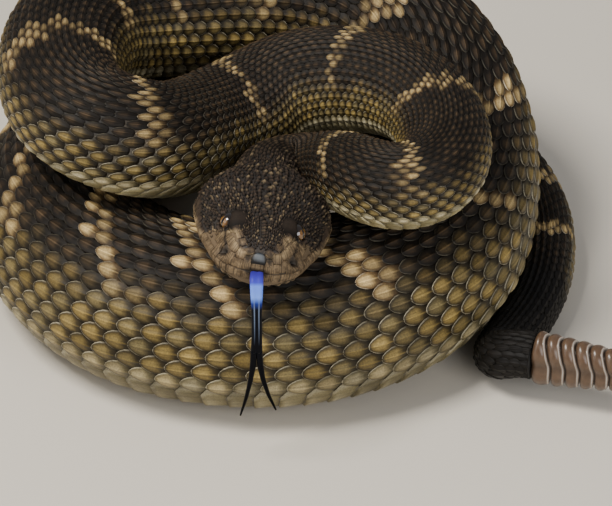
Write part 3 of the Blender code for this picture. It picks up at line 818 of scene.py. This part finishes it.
def lay_scales(template, s, phi, length, width, height, rng, twist=0.0):
    """Every scale of one kind laid on the skin, its root at s and phi.

    A point of the template is turned by twist, and its millimetres along and across become
    s and phi by the skin's own stretch there.
    """
    n, m = len(s), len(template[0])
    _, _, gs, gp = skin_frame(s + length * 0.4, phi)
    a = template[1] * length[:, None]
    b = template[0] * width[:, None] * 0.5
    twist = np.broadcast_to(twist, n)[:, None]
    ct, st = np.cos(twist), np.sin(twist)
    S = s[:, None] + (a * ct - b * st) / np.maximum(gs, 0.5)[:, None]
    A = phi[:, None] + (a * st + b * ct) / gp[:, None]
    p, f = raised(template, S, A, height * (1.0 + rng.uniform(-0.12, 0.12, n)))
    mid_s = np.repeat(s + length * 0.5, m)
    mid_a = np.repeat(phi, m)
    vary = np.repeat(rng.uniform(0, 1, n), m)
    stray = np.repeat(rng.normal(0, 0.20, n) * pitch(s), m) * smooth(36.0, 60.0, mid_s)
    values = shares(mid_s + stray, mid_a, vary)
    values["pale"] = values["pale"] * (0.45 + 0.55 * smooth(0.1, 0.5, (vary * 3.7) % 1.0))
    x, y, edge, root, core = tiled(template, n)
    # Painted highlight on the free edge, faint where the skin is squeezed.
    values["tip"] = edge * np.repeat(smooth(0.3, 0.75, gs), m)
    values.update(across=x, root=root, core=core)
    # Painted glint on some crown granules.
    values["spark"] = smooth(0.6, 1.0, (vary * 13.7) % 1.0) * values["head"] * core
    return p, f, values, bake_map(mid_s, mid_a, x, y)


def joined(parts):
    """Points, faces and shares of several parts as one."""
    first = np.cumsum([0] + [len(q[0]) for q in parts])
    faces = np.vstack([q[1] + k for q, k in zip(parts, first)])
    values = {k: np.concatenate([q[2][k] for q in parts]) for k in parts[0][2]}
    return np.vstack([q[0] for q in parts]), faces, values


def coat_object(name, parts, mat):
    """Joins laid scales in one mesh with a bake map."""
    verts, faces, values = joined(parts)
    uv = np.vstack([q[3] for q in parts])
    ob = mesh_object(name, verts, faces, mat, values)
    me = ob.data
    layer = me.uv_layers.new(name="OFBake")
    index = np.empty(len(me.loops), dtype=np.int32)
    me.loops.foreach_get("vertex_index", index)
    layer.data.foreach_set("uv", np.clip(uv[index], 0.0, 1.0).astype(np.float32).ravel())
    return ob


def stations(start, stop):
    """Distances of scale rows from start to stop, half a row apart."""
    out = [start]
    while out[-1] < stop:
        out.append(out[-1] + 0.5 * float(pitch(out[-1])))
    return np.array(out)


def build_body_scales(mat, lift):
    """Keeled scales in slanting rows, each overlapping the next toward the tail."""
    rng = np.random.default_rng(7)
    laid = []
    for start, stop, rows in ROW_SETS:
        halves = stations(start, stop if stop else END - 1.0)
        half = rows / 2.0
        for jj in range(-(rows // 2), rows // 2 + 1):
            line = halves[(jj % 2)::2]
            q = abs(jj) / half
            a = jj / half * (1.0 - ROW_BIAS + ROW_BIAS * q) * flank_reach(line)
            spread = flank_reach(line) / half * (1.0 - ROW_BIAS + 2.0 * ROW_BIAS * q)
            _, _, gs, gp = skin_frame(line + 1.0, a)
            pt = pitch(line)
            wide = np.minimum(spread * gp, spread * rail(line)[:, 12] * 1.12)
            laid.append([line, a, pt * np.clip(gs, 0.5, 1.55) * (1.42 - 0.10 * q),
                         wide * (1.04 + 0.32 * q), np.clip(pt / 4.4, 0.4, 1.0) * lift])
    laid = np.hstack(laid)
    laid[0] += rng.normal(0, 0.02, laid.shape[1]) * pitch(laid[0])
    laid = laid[:, np.argsort(laid[0])]
    chunk = COAT_LIMIT // len(KEELED[3])
    return [coat_object("scales_%d" % (k + 1),
                        [lay_scales(KEELED, *laid[:, start:start + chunk], rng)], mat)
            for k, start in enumerate(range(0, laid.shape[1], chunk))]


def build_belly(mat):
    """Wide belly plates, one to each row of scales, each edge over the next."""
    rng = np.random.default_rng(11)
    line = stations(30.0, END - 2.0)[::2]
    _, _, gs, _ = skin_frame(line, np.full(len(line), math.pi))
    pt = pitch(line)
    length = pt * np.clip(gs, 0.4, 1.3) * 1.3
    n, m = len(line), len(SCUTE[0])
    S = line[:, None] + SCUTE[1] * (length / np.maximum(gs, 0.4))[:, None]
    half = math.pi - flank_reach(line) + math.radians(5.0)
    A = math.pi + SCUTE[0] * half[:, None]
    p, f = raised(SCUTE, S, A, np.clip(pt / 4.5, 0.5, 1.0))
    mid_s, mid_a = np.repeat(line, m), np.full(n * m, math.pi)
    x, y, edge, root, core = tiled(SCUTE, n)
    values = shares(mid_s, mid_a, np.repeat(rng.uniform(0, 1, n), m))
    # Painted highlight on each plate's free edge, painted shade at its root.
    values.update(across=x * 4.0, tip=edge * 0.8, root=root * 0.5, core=core,
                  spark=np.zeros(n * m))
    return coat_object("belly_plates", [(p, f, values, bake_map(mid_s, mid_a, x, y))], mat)


def route_axes(s):
    """Point of the route at s, its direction, side and back."""
    row = rail(np.array(s))
    return row[0:3], row[3:6], row[6:9], row[9:12]


def head_place(s, x, y):
    """Point beside and over the head's axis, at distance s."""
    c, _, side, back = route_axes(s)
    return c + side * x + back * y


def build_crown(mat):
    """Small keeled granules in rows that spread backward over the crown and cheeks."""
    rng = np.random.default_rng(23)
    laid = []
    half = CROWN_ROWS
    for j in range(-half, half + 1):
        s = 1.2 + (0.5 if j % 2 else 0.0) + rng.uniform(-0.15, 0.15)
        while s < 39.0:
            step = np.interp(s, [3, 8, 16, 28, 38], [0.85, 0.95, 1.2, 1.6, 1.9])
            reach = np.radians(np.interp(s, [3, 9, 12, 27, 38], [75.0, 80.0, 104.0, 112.0, 106.0]))
            high = np.interp(s, [3, 16, 38], [0.6, 0.8, 0.75])
            laid.append((s, reach * (j / half + rng.normal(0, 0.16) / half),
                         step * rng.uniform(1.05, 1.3), reach / half * rng.uniform(0.85, 1.1),
                         high * rng.uniform(0.7, 1.25)))
            s += step * rng.uniform(0.9, 1.1)
    laid = np.array(laid).T
    S, A = laid[:2]
    p, _, _, gp = skin_frame(S, A)
    laid[3] *= gp
    hx, hy = off_axis(p, S)
    brow = ((S + 0.5 - EYE_AT[0] + 1.8) / 2.6) ** 2 + ((hx - 5.9) / 2.1) ** 2
    lips = (S > 8.4) & (S < 26.5) & (hy < mouth_line(S) + 1.5)
    snout = (S < 8.4) & (hy < np.interp(S, [1.0, 2.0, 5.0, 8.4], [3.6, 4.3, 5.3, 5.9]))
    keep = (apart(S + 0.5, hx, hy, EYE_AT) > 2.4) & (apart(S + 0.4, PIT_AT[1], hy, PIT_AT) > 1.15)
    laid = laid[:, keep & ~((brow < 1.0) & (hy > 4.5)) & ~snout & ~lips]
    part = lay_scales(GRAIN, *laid, rng, twist=rng.normal(0, 0.2, laid.shape[1]))
    return coat_object("crown_scales", [part], mat)


def wrap_index():
    """A fine sample of the head's skin with normals, to lay face plates on."""
    s = np.concatenate([np.arange(0.02, 3.0, 0.12), np.arange(3.0, 38.0, 0.25)])
    S, A = np.meshgrid(s, around(220), indexing="ij")
    p, n, _, _ = skin_frame(S, A)
    return p.reshape(-1, 3), n.reshape(-1, 3), S.ravel(), A.ravel()


def face_plate(index, kind, where, aim, length, width, height, rng, tan=1.0, slate=0.0,
               shade=0.0):
    """One plate laid on the face round the skin point nearest to where.

    It lies flat on that point's tangent plane, runs along aim, and each of its points drops
    on the mean of the six skin samples nearest to it, weighted by 1 / (distance + 0.03).
    Its markings are those of the nearest sample, times tan, with a lighter band under the
    ragged edge of the mask.
    """
    P, N, SS, AA = index
    x, y, z, faces, _, _, core = kind
    i = int(np.argmin(np.linalg.norm(P - where, axis=1)))
    n0 = N[i]
    t = unit(aim - n0 * np.dot(aim, n0))
    b = np.cross(n0, t)
    flat = P[i] + t * ((y - 0.5) * length)[:, None] + b * (x * width * 0.5)[:, None]
    close = np.linalg.norm(P - P[i], axis=1) < 0.75 * max(length, width) + 1.2
    local = np.nonzero(close)[0]
    dist = np.linalg.norm(flat[:, None] - P[local][None], axis=2)
    pick = np.argpartition(dist, 6, axis=1)[:, :6]
    w = 1.0 / (np.take_along_axis(dist, pick, 1) + 0.03)
    w = (w / w.sum(1, keepdims=True))[..., None]
    near = local[pick]
    nn = unit(np.sum(N[near] * w, 1))
    pp = np.sum(P[near] * w, 1)
    out = flat - nn * np.sum(nn * (flat - pp), 1, keepdims=True) + nn * (z * height)[:, None]
    m = len(x)
    own = local[np.argmin(dist, 1)]
    s, phi = SS[own], AA[own]
    values = shares(s, phi, np.full(m, rng.uniform(0.3, 0.8)))
    _, mark_and_shade, above = face_shares(s, phi)
    band = np.exp(-((above + 0.55) / 0.4) ** 2)
    # Plates are darkened by shade, which the brow plates use, and by the face's dark share: the
    # bar under the eye and painted shade in pit, nostril and tongue notch. The rostral's blue-grey
    # share is a painted reflection of the sky.
    values.update(spark=1.4 * band * values["tan"], tan=values["tan"] * tan, tip=np.zeros(m),
                  root=np.maximum(shade, mark_and_shade * (slate == 0.0)), core=core, across=x * 0.8,
                  slate=np.full(m, slate))
    return out, faces, values, bake_map(SS[i], AA[i], x, y)


# Shields of the snout: distance from the lips, sideways, upward, length and width.
SNOUT_TOP = [(1.7, 2.3, 4.2, 1.7, 1.7), (3.4, 3.9, 4.9, 1.8, 1.5), (5.3, 4.9, 5.7, 2.0, 1.5),
             (7.2, 5.7, 5.9, 2.1, 1.5)]
SNOUT_SIDE = [(0.7, 2.5, 2.4, 1.4, 1.5), (1.7, 4.0, 3.1, 1.7, 1.6), (3.2, 5.6, 3.6, 1.8, 1.5),
              (5.0, 6.9, 4.1, 1.9, 1.5), (6.9, 8.0, 4.3, 2.0, 1.5), (2.2, 5.9, 1.9, 1.5, 1.2),
              (5.9, 8.9, 2.2, 1.7, 1.3), (7.8, 9.6, 2.5, 1.8, 1.4), (6.0, 7.9, 3.2, 1.8, 1.2),
              (8.4, 9.0, 3.5, 1.6, 1.3)]


def build_face(mat):
    """Brow plates, lip shields above and below, snout shields and scales round each eye."""
    rng = np.random.default_rng(31)
    index = wrap_index()
    _, t, side, back = route_axes(8.0)
    parts = []

    def plate(s, x, y, aim, length, width, height, tan=1.0, slate=0.0, kind=SHIELD, shade=0.0):
        parts.append(face_plate(index, kind, head_place(s, x, y), aim, length, width, height,
                                rng, tan, slate, shade))

    # Rostral shield, glossy, grey-blue with a painted reflection of the sky.
    plate(0.7, 0.0, 3.1, back + t * 0.8, 2.7, 3.3, 0.6, 0.3, 0.85, kind=ROSTRAL)
    plate(0.1, 0.0, 1.3, back, 1.8, 2.9, 0.4, 0.8)
    # Outline of the lips from the middle of the snout back, by its own length.
    at = np.concatenate([[0.0], np.linspace(0.0, 25.5, 256)])
    wide = np.interp(at, HEAD_FINE, HEAD_SOFT[0])
    wide[0] = 0.0
    run = run_of(np.stack([at, wide], -1))
    # Shields of the lips, edge to edge, behind the rostral.
    ends = [1.55]
    while ends[-1] < run[-1] - 1.5:
        ends.append(ends[-1] + float(np.interp(ends[-1], [1, 8, 16, 28], [1.7, 2.0, 2.3, 2.3])))
    ends = np.array(ends)
    middle = (ends[:-1] + ends[1:]) / 2.0
    for sg in (-1, 1):
        for s, x, y, length, width in SNOUT_TOP:
            plate(s, sg * x, y, t + side * sg * 0.25, length * 1.05, width * 1.2, 0.4)
        for s, x, y, length, width in SNOUT_SIDE:
            plate(s, sg * x, y, back, width * 1.5, length * 1.3, rng.uniform(0.26, 0.4),
                  rng.uniform(0.75, 1.0))
        # Brow plate over the eye, the largest scale of the crown.
        plate(EYE_AT[0] - 2.0, sg * 5.9, 6.5, t, 7.2, 6.4, 0.34, kind=BROW, shade=0.75)
        # Ring of small scales before, under and behind the eye.
        turn = np.radians(np.linspace(25.0, -205.0, 11))
        for c, d in zip(np.cos(turn), np.sin(turn)):
            plate(EYE_AT[0] - 2.5 * c, sg * (EYE_AT[1] + 1.0), EYE_AT[2] + 2.3 * d,
                  back * d - t * c, 1.3, 1.1, 0.7, kind=GRAIN)
        for m, w in zip(middle, np.diff(ends) * 1.06):
            s, half = np.interp(m, run, at), sg * np.interp(m, run, wide)
            tall = float(np.interp(s, [0, 4, 6, 20, 25], [2.0, 2.0, 2.1, 2.4, 2.2]))
            high = rng.uniform(0.95, 1.2, 2) * tall
            lip, off = mouth_line(s), 0.2 + tall / 2
            plate(s, half, lip + off, back, high[0], w, 0.3, rng.uniform(0.8, 1.0))
            plate(s + 0.15, half, lip - off, -back, high[1], w, 0.3, rng.uniform(0.85, 1.0))
    return coat_object("face_plates", parts, mat)


def build_chin(mat):
    """Smooth throat scales below the lower lip shields."""
    rng = np.random.default_rng(41)
    laid = []
    first, whole, gaps = 118.0, 124.0, 12
    for j in range(gaps + 1):
        a = math.radians(first + whole * j / gaps)
        s = 2.2 + (0.9 if j % 2 else 0.0)
        while s < 33.0:
            step = float(np.interp(s, [2, 12, 33], [1.6, 2.0, 2.6]))
            laid.append((s, a, step * 1.35, math.radians(whole) / gaps * 1.2, 0.6))
            s += step
    laid = np.array(laid).T
    laid[3] *= skin_frame(laid[0], laid[1])[3]
    return coat_object("chin_scales", [lay_scales(GRAIN, *laid, rng)], mat)


def build_eyes(mat, radius):
    """Two glossy balls, each with vertex places from its own middle for iris and pupil.

    A ball is centre + radius (across sin v cos u + up sin v sin u + look cos v).
    """
    seg, rows = 48, 32
    V, U = np.meshgrid(np.linspace(0.0, math.pi, rows), around(seg), indexing="ij")
    x, y, z = (q[..., None] for q in (np.sin(V) * np.cos(U), np.sin(V) * np.sin(U), np.cos(V)))
    _, t, side, back = route_axes(EYE_AT[0])
    made = []
    for sg, label in ((1, "left"), (-1, "right")):
        c = head_place(EYE_AT[0], sg * (EYE_AT[1] - 0.35), EYE_AT[2])
        look = unit(side * sg * 0.80 + back * 0.16 - t * 0.58)
        up = unit(back - look * np.dot(back, look))
        p = c + radius / MM * (np.cross(look, up) * x + up * y + look * z)
        made.append(mesh_object("eyeball_" + label, p.reshape(-1, 3), tube_faces(rows, seg), mat,
                                {"eye_x": x / 0.92, "eye_y": y / 0.92}))
    return made


# Middle of the tongue's stem and tines, and their half width and half thickness.
TONGUE_STEM = [
    (0.9, -65.0, 49.8, 1.0, 0.42), (0.85, -66.8, 50.0, 1.4, 0.5), (0.8, -68.8, 49.9, 1.5, 0.5),
    (0.8, -70.5, 48.6, 1.45, 0.5), (0.8, -71.3, 46.0, 1.3, 0.5), (0.8, -71.5, 42.0, 1.15, 0.55),
    (0.8, -71.3, 36.0, 1.15, 0.55), (0.7, -71.0, 31.0, 1.3, 0.55),
]
TINE_LEFT = [
    (0.1, -71.0, 31.4, 0.7, 0.5), (-0.1, -70.9, 27.5, 0.7, 0.5), (-0.7, -70.8, 23.0, 0.55, 0.45),
    (-1.7, -70.6, 18.0, 0.42, 0.38), (-3.0, -70.4, 13.0, 0.2, 0.2),
]
TINE_RIGHT = [
    (1.3, -71.0, 31.4, 0.7, 0.5), (1.45, -70.9, 27.5, 0.7, 0.5), (2.1, -71.0, 23.4, 0.55, 0.45),
    (3.3, -71.2, 19.2, 0.42, 0.38), (4.9, -71.5, 15.4, 0.2, 0.2),
]


def strip(table, count, groove, start, stop):
    """Oval tube along a softened line with a groove down its outer face.

    At angle a it is half width cos(a) to the side and half thickness sin(a) outward, less the
    groove's bell exp(-(cos(a) / 0.28)^2).
    """
    seg, fine = 20, 200
    line = np.array(table)
    at = run_of(line[:, :3])
    rows = look_up(np.linspace(0.0, at[-1], fine), at, line, range(5))
    kernel = np.hanning(31)[1:-1]
    kernel = kernel / kernel.sum()
    rows = np.stack([np.convolve(np.pad(column, 14, mode="reflect", reflect_type="odd"), kernel,
                                 mode="valid") for column in rows.T], 1)
    row = look_up(np.linspace(0, fine - 1, count), np.arange(fine), rows, range(5))
    t = unit(np.gradient(row[:, :3], axis=0))
    wide = unit(np.array([1.0, 0, 0]) - t * t[:, 0:1])
    thin = np.cross(t, wide)
    a = around(seg)
    cut = 1.0 - groove * np.exp(-(np.cos(a) / 0.28) ** 2)
    p = (row[:, None, :3] + wide[:, None] * (row[:, 3:4] * np.cos(a))[..., None]
         + thin[:, None] * (row[:, 4:5] * np.sin(a) * cut)[..., None])
    faces = np.vstack([tube_faces(count, seg), end_caps(count, seg)])
    return p.reshape(-1, 3), faces, {"along": np.repeat(np.linspace(start, stop, count), seg),
                                     "across": np.tile(np.cos(a), count)}


def build_tongue(mat):
    """Forked tongue: a flat grooved stem and two tines with fine tips, joined in one mesh."""
    parts = [strip(TONGUE_STEM, 70, 0.45, 0.0, 0.62)]
    parts += [strip(tine, 50, 0.1, 0.6, 1.0) for tine in (TINE_LEFT, TINE_RIGHT)]
    verts, faces, values = joined(parts)
    return mesh_object("tongue_forked", verts, faces, mat, values)


def build_rattle(mat):
    """Horny rings in a row, each a swell that ends in a thin raised lip before a deep groove.

    Radius is the tapering oval of the whole rattle times the swell of the ring, sin(pi f^0.8)
    for a share f of the ring plus a bell for its lip. The rings lean back at the top and bow
    tailward at the sides, where a long furrow pinches them in.
    """
    count, per, seg = RATTLE_RINGS, 24, 96
    _, t, side, back = route_axes(END - 1.0)
    start = route_axes(END)[0] + t * 0.3
    ring = np.arange(count * per + 1) / per
    f = (ring % 1.0)[:, None]
    q = np.minimum(ring / count, 1.0)[:, None]
    a = around(seg)
    ca, sa = np.cos(a), np.sin(a)
    swell = 0.74 + 0.22 * np.sin(math.pi * np.clip(f * 1.05, 0, 1) ** 0.8) ** 0.6
    swell = swell + 0.06 * np.exp(-((f - 0.84) / 0.06) ** 2)
    bow = 1.2 - 0.7 * ca - 1.2 * ca ** 2
    tall = (7.1 - 2.6 * q ** 1.3) * swell * ca
    wide = (4.9 - 1.6 * q) * swell * (1.0 - 0.2 * np.exp(-(ca / 0.30) ** 2)) * sa
    ends = smooth(0.0, 0.8, ring)[:, None] * smooth(count, count - 1.0, ring)[:, None]
    along = (ring * RING_STEP)[:, None] + bow * ends
    rise = np.array([0.0, 0.0, 1.6])
    p = (start + t * along[..., None] + rise * q[..., None] + side * wide[..., None]
         + back * tall[..., None])
    p[..., 2] = np.maximum(p[..., 2], RATTLE_FLOOR)
    # Rounded end past the last ring.
    knob = np.array([0.62, 0.5, 0.3, 0.1])[:, None]
    out = np.array([0.0, 0.7, 1.2, 1.4])[:, None]
    cap = (start + rise + t * (count * RING_STEP + out)[..., None]
           + side * (3.3 * knob * sa)[..., None] + back * (4.5 * knob * ca)[..., None])
    verts = np.vstack([p.reshape(-1, 3), cap.reshape(-1, 3)])
    rows = len(ring) + len(knob)
    faces = np.vstack([tube_faces(rows, seg), end_caps(rows, seg)])
    # Painted shade between the rings and along the side furrow, and a painted highlight on each
    # ring's lip.
    groove = np.exp(-(np.minimum(f, 1 - f) / 0.10) ** 2) + 0.35 * np.exp(-(ca / 0.2) ** 2)
    lip_highlight = np.repeat(np.exp(-((f - 0.85) / 0.05) ** 2), seg)
    rest = np.zeros(len(knob) * seg)
    return mesh_object("rattle_rings", verts, faces, mat,
                       {"groove": np.append(np.clip(groove, 0, 1), rest),
                        "lip_highlight": np.append(lip_highlight, rest)})


# Camera, floor and lamps.

# Degrees of the camera over the floor, its distance and sensor in millimetres; size and
# scale of the photograph in pixels, and the pixel on which the route's origin falls.
CAMERA_LIFT = 36.0
CAMERA_FAR = 1100.0
SENSOR = 36.0
PHOTO_W, PHOTO_H = 612.0, 506.0
PX_PER_MM = 4.24
ORIGIN_PX = (257.0, 275.0)
# Name, place in metres, watts, size and colour of each lamp, and the point all look at.
LAMPS = (("key", (-0.42, -0.25, 0.9), 12.0, 0.3, (1.0, 0.96, 0.9)),
         ("fill", (0.45, -0.8, 0.45), 5.5, 0.6, (0.98, 0.98, 1.0)),
         ("side", (-0.8, -0.4, 0.45), 2.0, 0.6, (1.0, 0.98, 0.95)))
LAMPS_AIM = (0.0, 0.0, 0.03)
SKY = (0.88, 0.90, 0.95, 1.0)
SKY_STRENGTH = 0.3


def build_stage(props):
    """Pale floor, soft key from the upper left, sky fill, and the photograph's view."""
    e = math.radians(CAMERA_LIFT)
    fwd = np.array([0, math.cos(e), -math.sin(e)])
    up = np.array([0, math.sin(e), math.cos(e)])
    right = np.array([1.0, 0, 0])
    eye = (-fwd * CAMERA_FAR - right * ((ORIGIN_PX[0] - PHOTO_W / 2) / PX_PER_MM)
           + up * ((ORIGIN_PX[1] - PHOTO_H / 2) / PX_PER_MM)) - BASE
    cam = bpy.data.cameras.new("camera")
    cam.sensor_width = SENSOR
    cam.lens = SENSOR * PX_PER_MM * CAMERA_FAR / PHOTO_W
    cam.clip_start = 0.05
    cam.clip_end = 20.0
    cam_ob = add_object("camera", cam)
    cam_ob.location = Vector(eye * MM)
    cam_ob.rotation_euler = (math.radians(90.0) - e, 0.0, 0.0)
    bpy.context.scene.camera = cam_ob
    bm = bmesh.new()
    bmesh.ops.create_grid(bm, x_segments=1, y_segments=1, size=3.0)
    me = bpy.data.meshes.new("floor")
    bm.to_mesh(me)
    bm.free()
    mat, shader = new_material("floor_paper")
    set_shader(mat, shader, Base_Color=linear("#cfc8bb"), Roughness=0.9)
    me.materials.append(mat)
    floor = add_object("floor", me)
    for name, where, power, size, colour in LAMPS:
        lamp = bpy.data.lights.new(name, "AREA")
        lamp.energy = power * props.light
        lamp.size = size
        lamp.color = colour
        ob = add_object(name, lamp)
        ob.location = where
        aim = Vector(LAMPS_AIM) - Vector(where)
        ob.rotation_euler = aim.to_track_quat("-Z", "Y").to_euler()
    world = bpy.data.worlds.new("soft_sky")
    world.use_nodes = True
    sky = world.node_tree.nodes["Background"]
    sky.inputs["Color"].default_value = SKY
    sky.inputs["Strength"].default_value = SKY_STRENGTH
    bpy.context.scene.world = world


# Solids that the skin stands in for.
FLESH = ["head", "lower_jaw", "neck_1", "neck_2", "neck_3", "forebody_1", "forebody_2",
         "forebody_3", "forebody_4", "forebody_5", "midbody_1", "midbody_2", "midbody_3",
         "midbody_4", "midbody_5", "midbody_6", "hindbody_1", "hindbody_2", "hindbody_3",
         "tail_1", "tail_2"]


def colour_property(name, description, code):
    return FloatVectorProperty(name=name, description=description, subtype="COLOR", size=4,
                               min=0.0, max=1.0, default=linear(code))


class SnakeSettings(bpy.types.PropertyGroup):
    light: FloatProperty(name="Light", description="Strength of the lamps", default=1.0,
                         min=0.1, max=5.0)
    scale_lift: FloatProperty(name="Scale lift", default=1.0, min=0.2, max=2.0,
                              description="Height of the scales over the skin, as a share")
    eye_radius: FloatProperty(name="Eye radius", description="Radius of each eyeball",
                              default=0.0021, min=0.001, max=0.004, precision=4, unit="LENGTH")
    back_colour: colour_property("Back", "Middle of a dark scale on the back", "#54432f")
    flank_colour: colour_property("Flank", "Middle of a scale on the flank", "#ad9353")
    bar_colour: colour_property("Bars", "Middle of a scale in a pale crossbar", "#d8bb80")
    belly_colour: colour_property("Belly", "Middle of a belly plate", "#ebe2c0")
    head_colour: colour_property("Crown", "Middle of a scale on the crown", "#463a30")
    tan_colour: colour_property("Lips", "Middle of a pale shield on the face", "#847055")
    iris_colour: colour_property("Iris", "Bright part of the iris", "#7a5826")
    rattle_colour: colour_property("Rattle", "Light part of the rattle's horn", "#65503f")


def settings():
    return bpy.context.scene.rattlesnake


MATERIALS = {}


def material(kind):
    """Makes each material once and hands it back after that."""
    makers = {"skin": skin_material, "scale": scale_material, "eye": eye_material,
              "tongue": tongue_material, "rattle": rattle_material}
    if kind not in MATERIALS:
        MATERIALS[kind] = makers[kind](settings())
    return MATERIALS[kind]


class RATTLE_OT_skin(bpy.types.Operator):
    """Add the skin of head, body and tail as one surface"""
    bl_idname = "rattlesnake.skin"
    bl_label = "Skin"

    def execute(self, context):
        ob = build_skin(material("skin"))
        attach(ob, "root")
        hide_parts(*FLESH)
        return {"FINISHED"}


class RATTLE_OT_scales(bpy.types.Operator):
    """Add body scales, belly plates and head scales over the skin"""
    bl_idname = "rattlesnake.scales"
    bl_label = "Scales"

    def execute(self, context):
        mat = material("scale")
        for ob in build_body_scales(mat, settings().scale_lift) + [build_belly(mat)]:
            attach(ob, "root")
        for ob in (build_crown(mat), build_face(mat), build_chin(mat)):
            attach(ob, "root")
        return {"FINISHED"}


class RATTLE_OT_eyes(bpy.types.Operator):
    """Add the two eyes"""
    bl_idname = "rattlesnake.eyes"
    bl_label = "Eyes"

    def execute(self, context):
        made = build_eyes(material("eye"), settings().eye_radius)
        for ob, old in zip(made, ("eye_left", "eye_right")):
            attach(ob, "root")
            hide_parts(old)
        return {"FINISHED"}


class RATTLE_OT_tongue(bpy.types.Operator):
    """Add the forked tongue"""
    bl_idname = "rattlesnake.tongue"
    bl_label = "Tongue"

    def execute(self, context):
        ob = build_tongue(material("tongue"))
        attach(ob, "root")
        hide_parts("tongue")
        return {"FINISHED"}


class RATTLE_OT_rattle(bpy.types.Operator):
    """Add the horny rings of the rattle"""
    bl_idname = "rattlesnake.rattle"
    bl_label = "Rattle"

    def execute(self, context):
        ob = build_rattle(material("rattle"))
        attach(ob, "root")
        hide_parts("rattle")
        return {"FINISHED"}


class RATTLE_OT_stage(bpy.types.Operator):
    """Add floor, lamps and camera"""
    bl_idname = "rattlesnake.stage"
    bl_label = "Stage"

    def execute(self, context):
        build_stage(settings())
        return {"FINISHED"}


class RATTLE_PT_panel(bpy.types.Panel):
    bl_label = "Rattlesnake"
    bl_idname = "RATTLE_PT_panel"
    bl_space_type = "VIEW_3D"
    bl_region_type = "UI"
    bl_category = "Rattlesnake"

    def draw(self, context):
        for name in SnakeSettings.__annotations__:
            self.layout.prop(settings(), name)
        for cls in OPERATORS:
            self.layout.operator(cls.bl_idname)


OPERATORS = (RATTLE_OT_skin, RATTLE_OT_scales, RATTLE_OT_eyes, RATTLE_OT_tongue,
             RATTLE_OT_rattle, RATTLE_OT_stage)
CLASSES = (SnakeSettings,) + OPERATORS + (RATTLE_PT_panel,)


def register():
    for cls in CLASSES:
        bpy.utils.register_class(cls)
    bpy.types.Scene.rattlesnake = PointerProperty(type=SnakeSettings)


def unregister():
    del bpy.types.Scene.rattlesnake
    for cls in reversed(CLASSES):
        bpy.utils.unregister_class(cls)


def main():
    register()
    bpy.ops.rattlesnake.skin()
    bpy.ops.rattlesnake.scales()
    bpy.ops.rattlesnake.eyes()
    bpy.ops.rattlesnake.tongue()
    bpy.ops.rattlesnake.rattle()
    bpy.ops.rattlesnake.stage()


if __name__ == "__main__":
    main()
